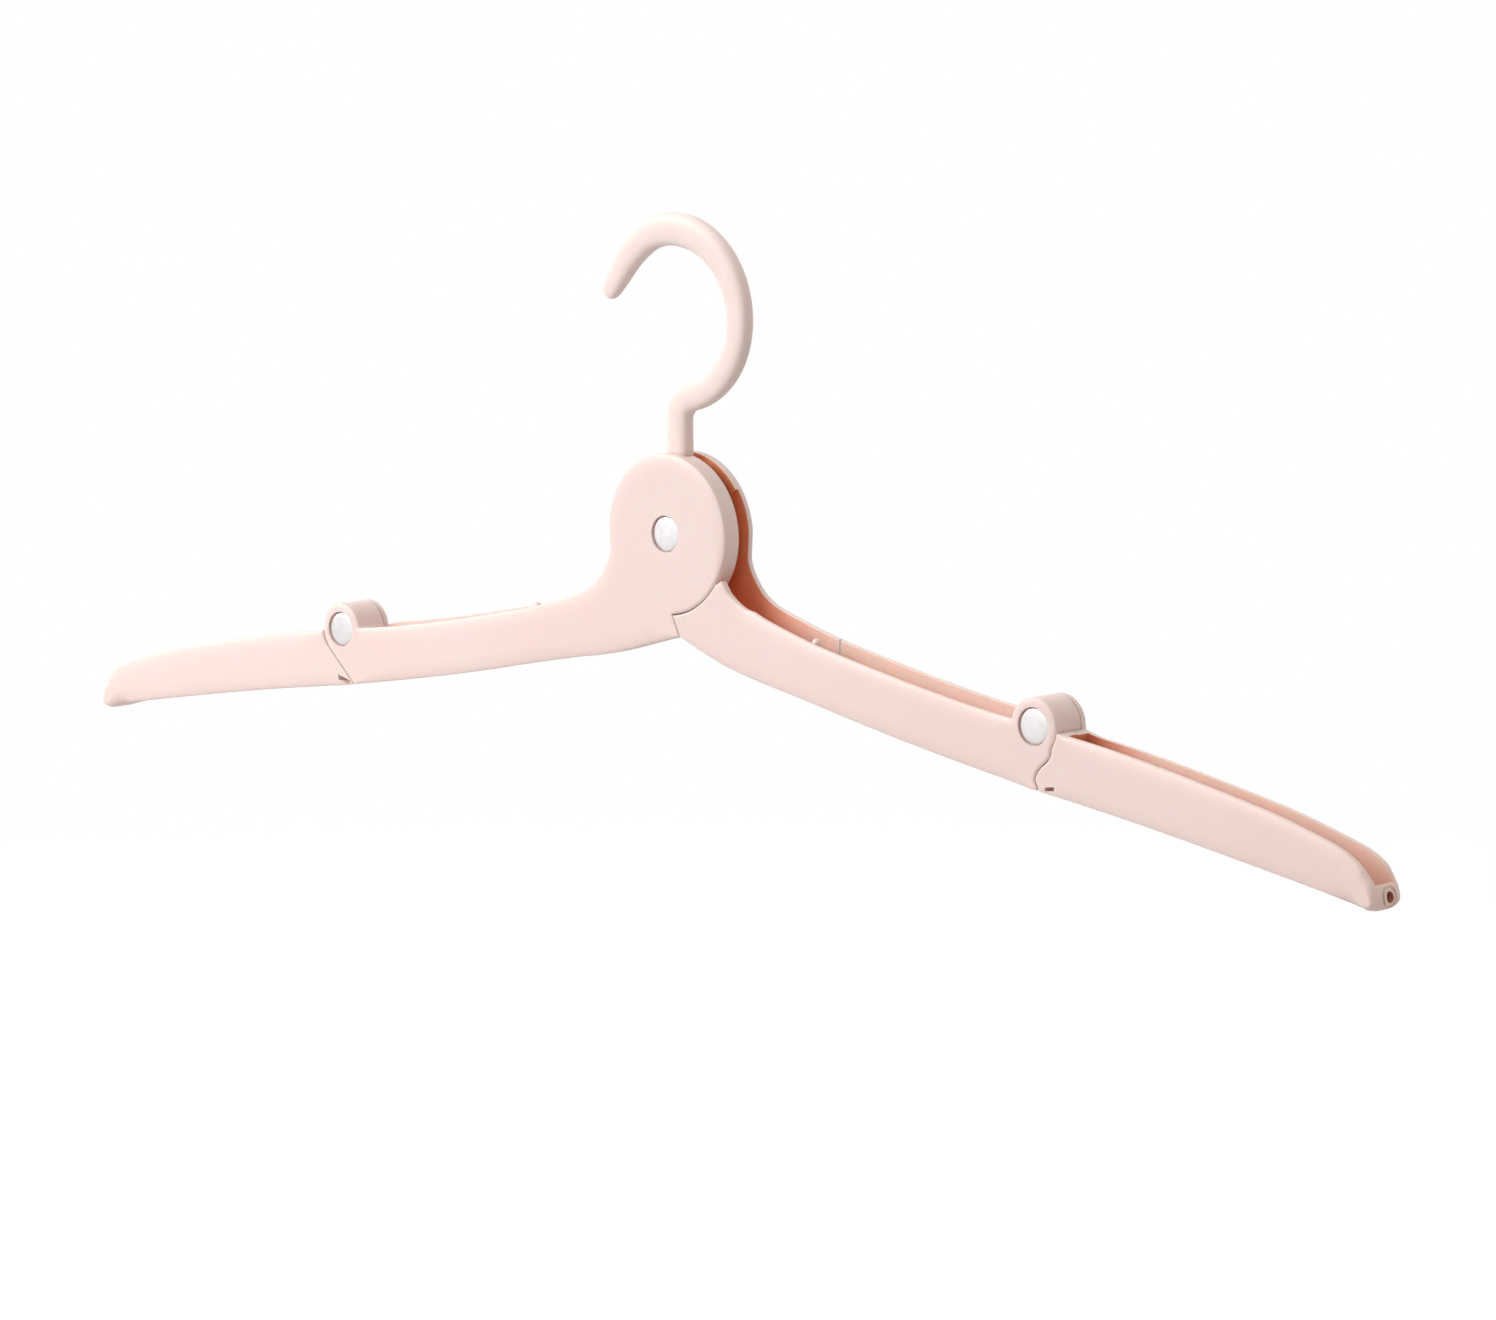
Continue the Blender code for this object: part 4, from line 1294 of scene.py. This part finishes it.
# %% [markdown]
# ## The hook's line
#
# The hook is one bar, bent on a circle. Its centre line is drawn in angles and distances about the
# middle of that circle, so that it can be round where the real one is and leave the circle where it
# isn't. Towards the tip it bends outwards, so that a rail finds its way in. At the foot a short
# bend leads into the straight stem, down to the rivet.

# %% The hook's centre line
HOOK_CENTRE = (0.0, 51.9)
HOOK_LINE = (
    (174, 23.9), (165, 22.1), (152, 20.8), (132, 20.3), (112, 20.3), (90, 19.7), (62, 19.2),
    (31, 19.1), (0, 19.4), (-36, 19.8), (-78, 19.9),
)
BEND_STEPS = 16
STEM_FOOT = 4.0


def hook_line():
    """(out, up, heading) along the centre line from the tip to the eye."""
    bent = [polar(HOOK_CENTRE, radius, angle) for angle, radius in flowing(HOOK_LINE, 10)]
    line = []
    for a, b in zip(bent, bent[1:]):
        heading = math.degrees(math.atan2(b[1] - a[1], b[0] - a[0]))
        line.append(((a[0] + b[0]) / 2, (a[1] + b[1]) / 2, heading))
    out, up, heading = line[-1]
    turn = math.radians(heading + 90)
    bend = out / (1 - math.cos(turn))
    middle = (bend, up + bend * math.sin(turn))
    for n in range(1, BEND_STEPS + 1):
        angle = heading + (-90 - heading) * n / BEND_STEPS
        line.append((*polar(middle, bend, angle - 90), angle))
    return [*line, (0, STEM_FOOT, -90)]


print("the hook's line has", len(hook_line()), "points")

# %% [markdown]
# ## The hook's section
#
# Cut across, the hook is a superellipse: fuller than an oval, softer than a rectangle. It is
# thickest near the top, where it carries the load, a little slimmer down its side, and it narrows
# towards a round tip. A curve object with a bevel needs a second curve for that. Here each ring has
# its own size, read from a short table: distances from the tip, in widths of the hook, with shares
# of the full section.

# %% The hook's section and its swelling
HOOK_WIDE = 7.4
HOOK_DEEP = 4.6
SWELL = (
    (0.00, 0.12), (0.02, 0.24), (0.06, 0.38), (0.12, 0.50), (0.22, 0.60), (0.40, 0.69),
    (0.75, 0.78), (1.2, 0.86), (2.0, 0.96), (3.2, 1.05), (4.6, 1.08), (6.2, 1.0), (8.0, 0.93),
    (11.0, 0.90), (13.4, 0.92), (15.0, 1.0),
)


def swell_at(along):
    """The size of the section at this distance from the tip, as a share of the full one."""
    share = along / HOOK_WIDE
    for (s0, w0), (s1, w1) in zip(SWELL, SWELL[1:]):
        if s0 <= share <= s1:
            return w0 + (w1 - w0) * (share - s0) / (s1 - s0)
    return 1.0


def section(wide, deep, count=32, square=2.7):
    """Points round a superellipse: an oval for square = 2, and squarer for more."""
    found = []
    for n in range(count):
        turn = 2 * math.pi * (n + 0.5) / count
        c, s = math.cos(turn), math.sin(turn)
        found.append((
            math.copysign(abs(c) ** (2 / square), c) * wide / 2,
            math.copysign(abs(s) ** (2 / square), s) * deep / 2,
        ))
    return found


print("the hook is", HOOK_WIDE, "by", HOOK_DEEP, "mm across")

# %% [markdown]
# ## Build the hook
#
# The rings are set square to the line and joined by bands. The round eye that sits on the rivet is
# joined with a Boolean, because a round plate meets a bar there, and then the bore is cut.

# %% Build the hook
EYE = 8.5
WASHER = 0.5  # thickness


def build_hook(name):
    line = hook_line()
    run = [0.0]
    for a, b in zip(line, line[1:]):
        run.append(run[-1] + math.dist(a[:2], b[:2]))
    build = bmesh.new()
    rings = []
    for (out, up, heading), along in zip(line, run):
        grown = swell_at(along)
        turn = math.radians(heading)
        ring = []
        for across, deep in section(HOOK_WIDE * grown, HOOK_DEEP * min(1.0, grown)):
            spot = place(1, out - across * math.sin(turn), deep, up + across * math.cos(turn))
            ring.append(build.verts.new(spot))
        rings.append(ring)
    for low, high in zip(rings, rings[1:]):
        band(build, low, high)
    build.faces.new(rings[0])
    build.faces.new(rings[-1])
    hook = piece_from(build, name, HOOK_PINK)
    deep = HALF - WALL - GAP - WASHER - GAP
    # The eye's faces take the inside's painted shade, deep red, as it sits in the shaded hub.
    bake(hook, [peg("eye", 1, (0, 0), EYE, -deep, deep, INSIDE_SHADE[1])], "UNION")
    bake(hook, [peg("bore", 1, (0, 0), HUB_SHANK + GAP, -HALF, HALF)])
    settle_shading(hook, 40)
    hand_over(hook, "hook", "hook")
    print(name, "is", round(run[-1]), "mm along its centre line")


build_hook("hook_visual")

# %% [markdown]
# ## The rivets and washers
#
# A rivet head is a low dome with a rounded edge, sunk a little under the face. Its rear end is a
# ring round the shank's end, as the press forms it. Both come from a profile that goes once round
# the axis: a Screw modifier does that too, but then the points on the axis need a weld of their own
# anyway. The washers' solids are right as they are, and only take their finish.

# %% Build the rivets
SUNK = 0.3
HEAD_THICK = 0.6
HEAD_ROUND = 0.3  # radius of the head's edge


def turned(name, side, centre, profile, around=72):
    """A closed profile of (radius, depth) turned about the axis through centre."""
    build = bmesh.new()
    rings = []
    for n in range(around):
        c, s = math.cos(2 * math.pi * n / around), math.sin(2 * math.pi * n / around)
        spots = [(side * centre[0] + r * c, depth, centre[1] + r * s) for r, depth in profile]
        rings.append([build.verts.new(place(1, *spot)) for spot in spots])
    for n in range(around):
        band(build, rings[n], rings[(n + 1) % around])
    bmesh.ops.remove_doubles(build, verts=build.verts, dist=0.001 * MM)
    bmesh.ops.dissolve_degenerate(build, edges=build.edges, dist=0.001 * MM)
    loose = [edge for edge in build.edges if not edge.link_faces]
    bmesh.ops.delete(build, geom=loose, context="EDGES")
    piece = piece_from(build, name, STEEL)
    settle_shading(piece)
    return piece


def build_rivet(name, side, centre, shank, body):
    face = -HALF + SUNK
    under, end = face + HEAD_THICK, -face
    dome = [(0, face), (HEAD * 0.5, face + 0.02), (HEAD * 0.82, face + 0.07)]
    edge = []
    for turn in (0.2, 0.6, 1.0, 1.35):
        out, depth = HEAD_ROUND * math.sin(turn), HEAD_ROUND * math.cos(turn)
        edge.append((HEAD - HEAD_ROUND + out, face + 0.42 - depth))
    foot = [(shank, end - 0.2), (shank - 0.2, end), (0, end)]
    post = [*dome, *edge, (HEAD, under), (shank, under), *foot]
    rear_edge = [(radius, -depth) for radius, depth in edge[::-1]]
    inner_edge = [(shank + 0.9, end - 0.05), (shank + GAP, end - 0.12)]
    ring = [(shank + GAP, -under), (HEAD, -under), *rear_edge, *inner_edge]
    for part, profile in (("post", post), ("cap", ring)):
        piece = turned(f"{name}_{part}_visual", side, centre, profile)
        hand_over(piece, f"{name}_{part}", body)


build_rivet("hub_rivet", 1, (0, 0), HUB_SHANK, "hook")
build_rivet("left_rivet", -1, PIVOT, ARM_SHANK, "left_arm")
build_rivet("right_rivet", 1, PIVOT, ARM_SHANK, "right_arm")
for node in ("hub_front_washer", "hub_rear_washer"):
    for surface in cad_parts[node].material_slots:
        surface.material = NYLON
        print(node, "takes", NYLON.name)
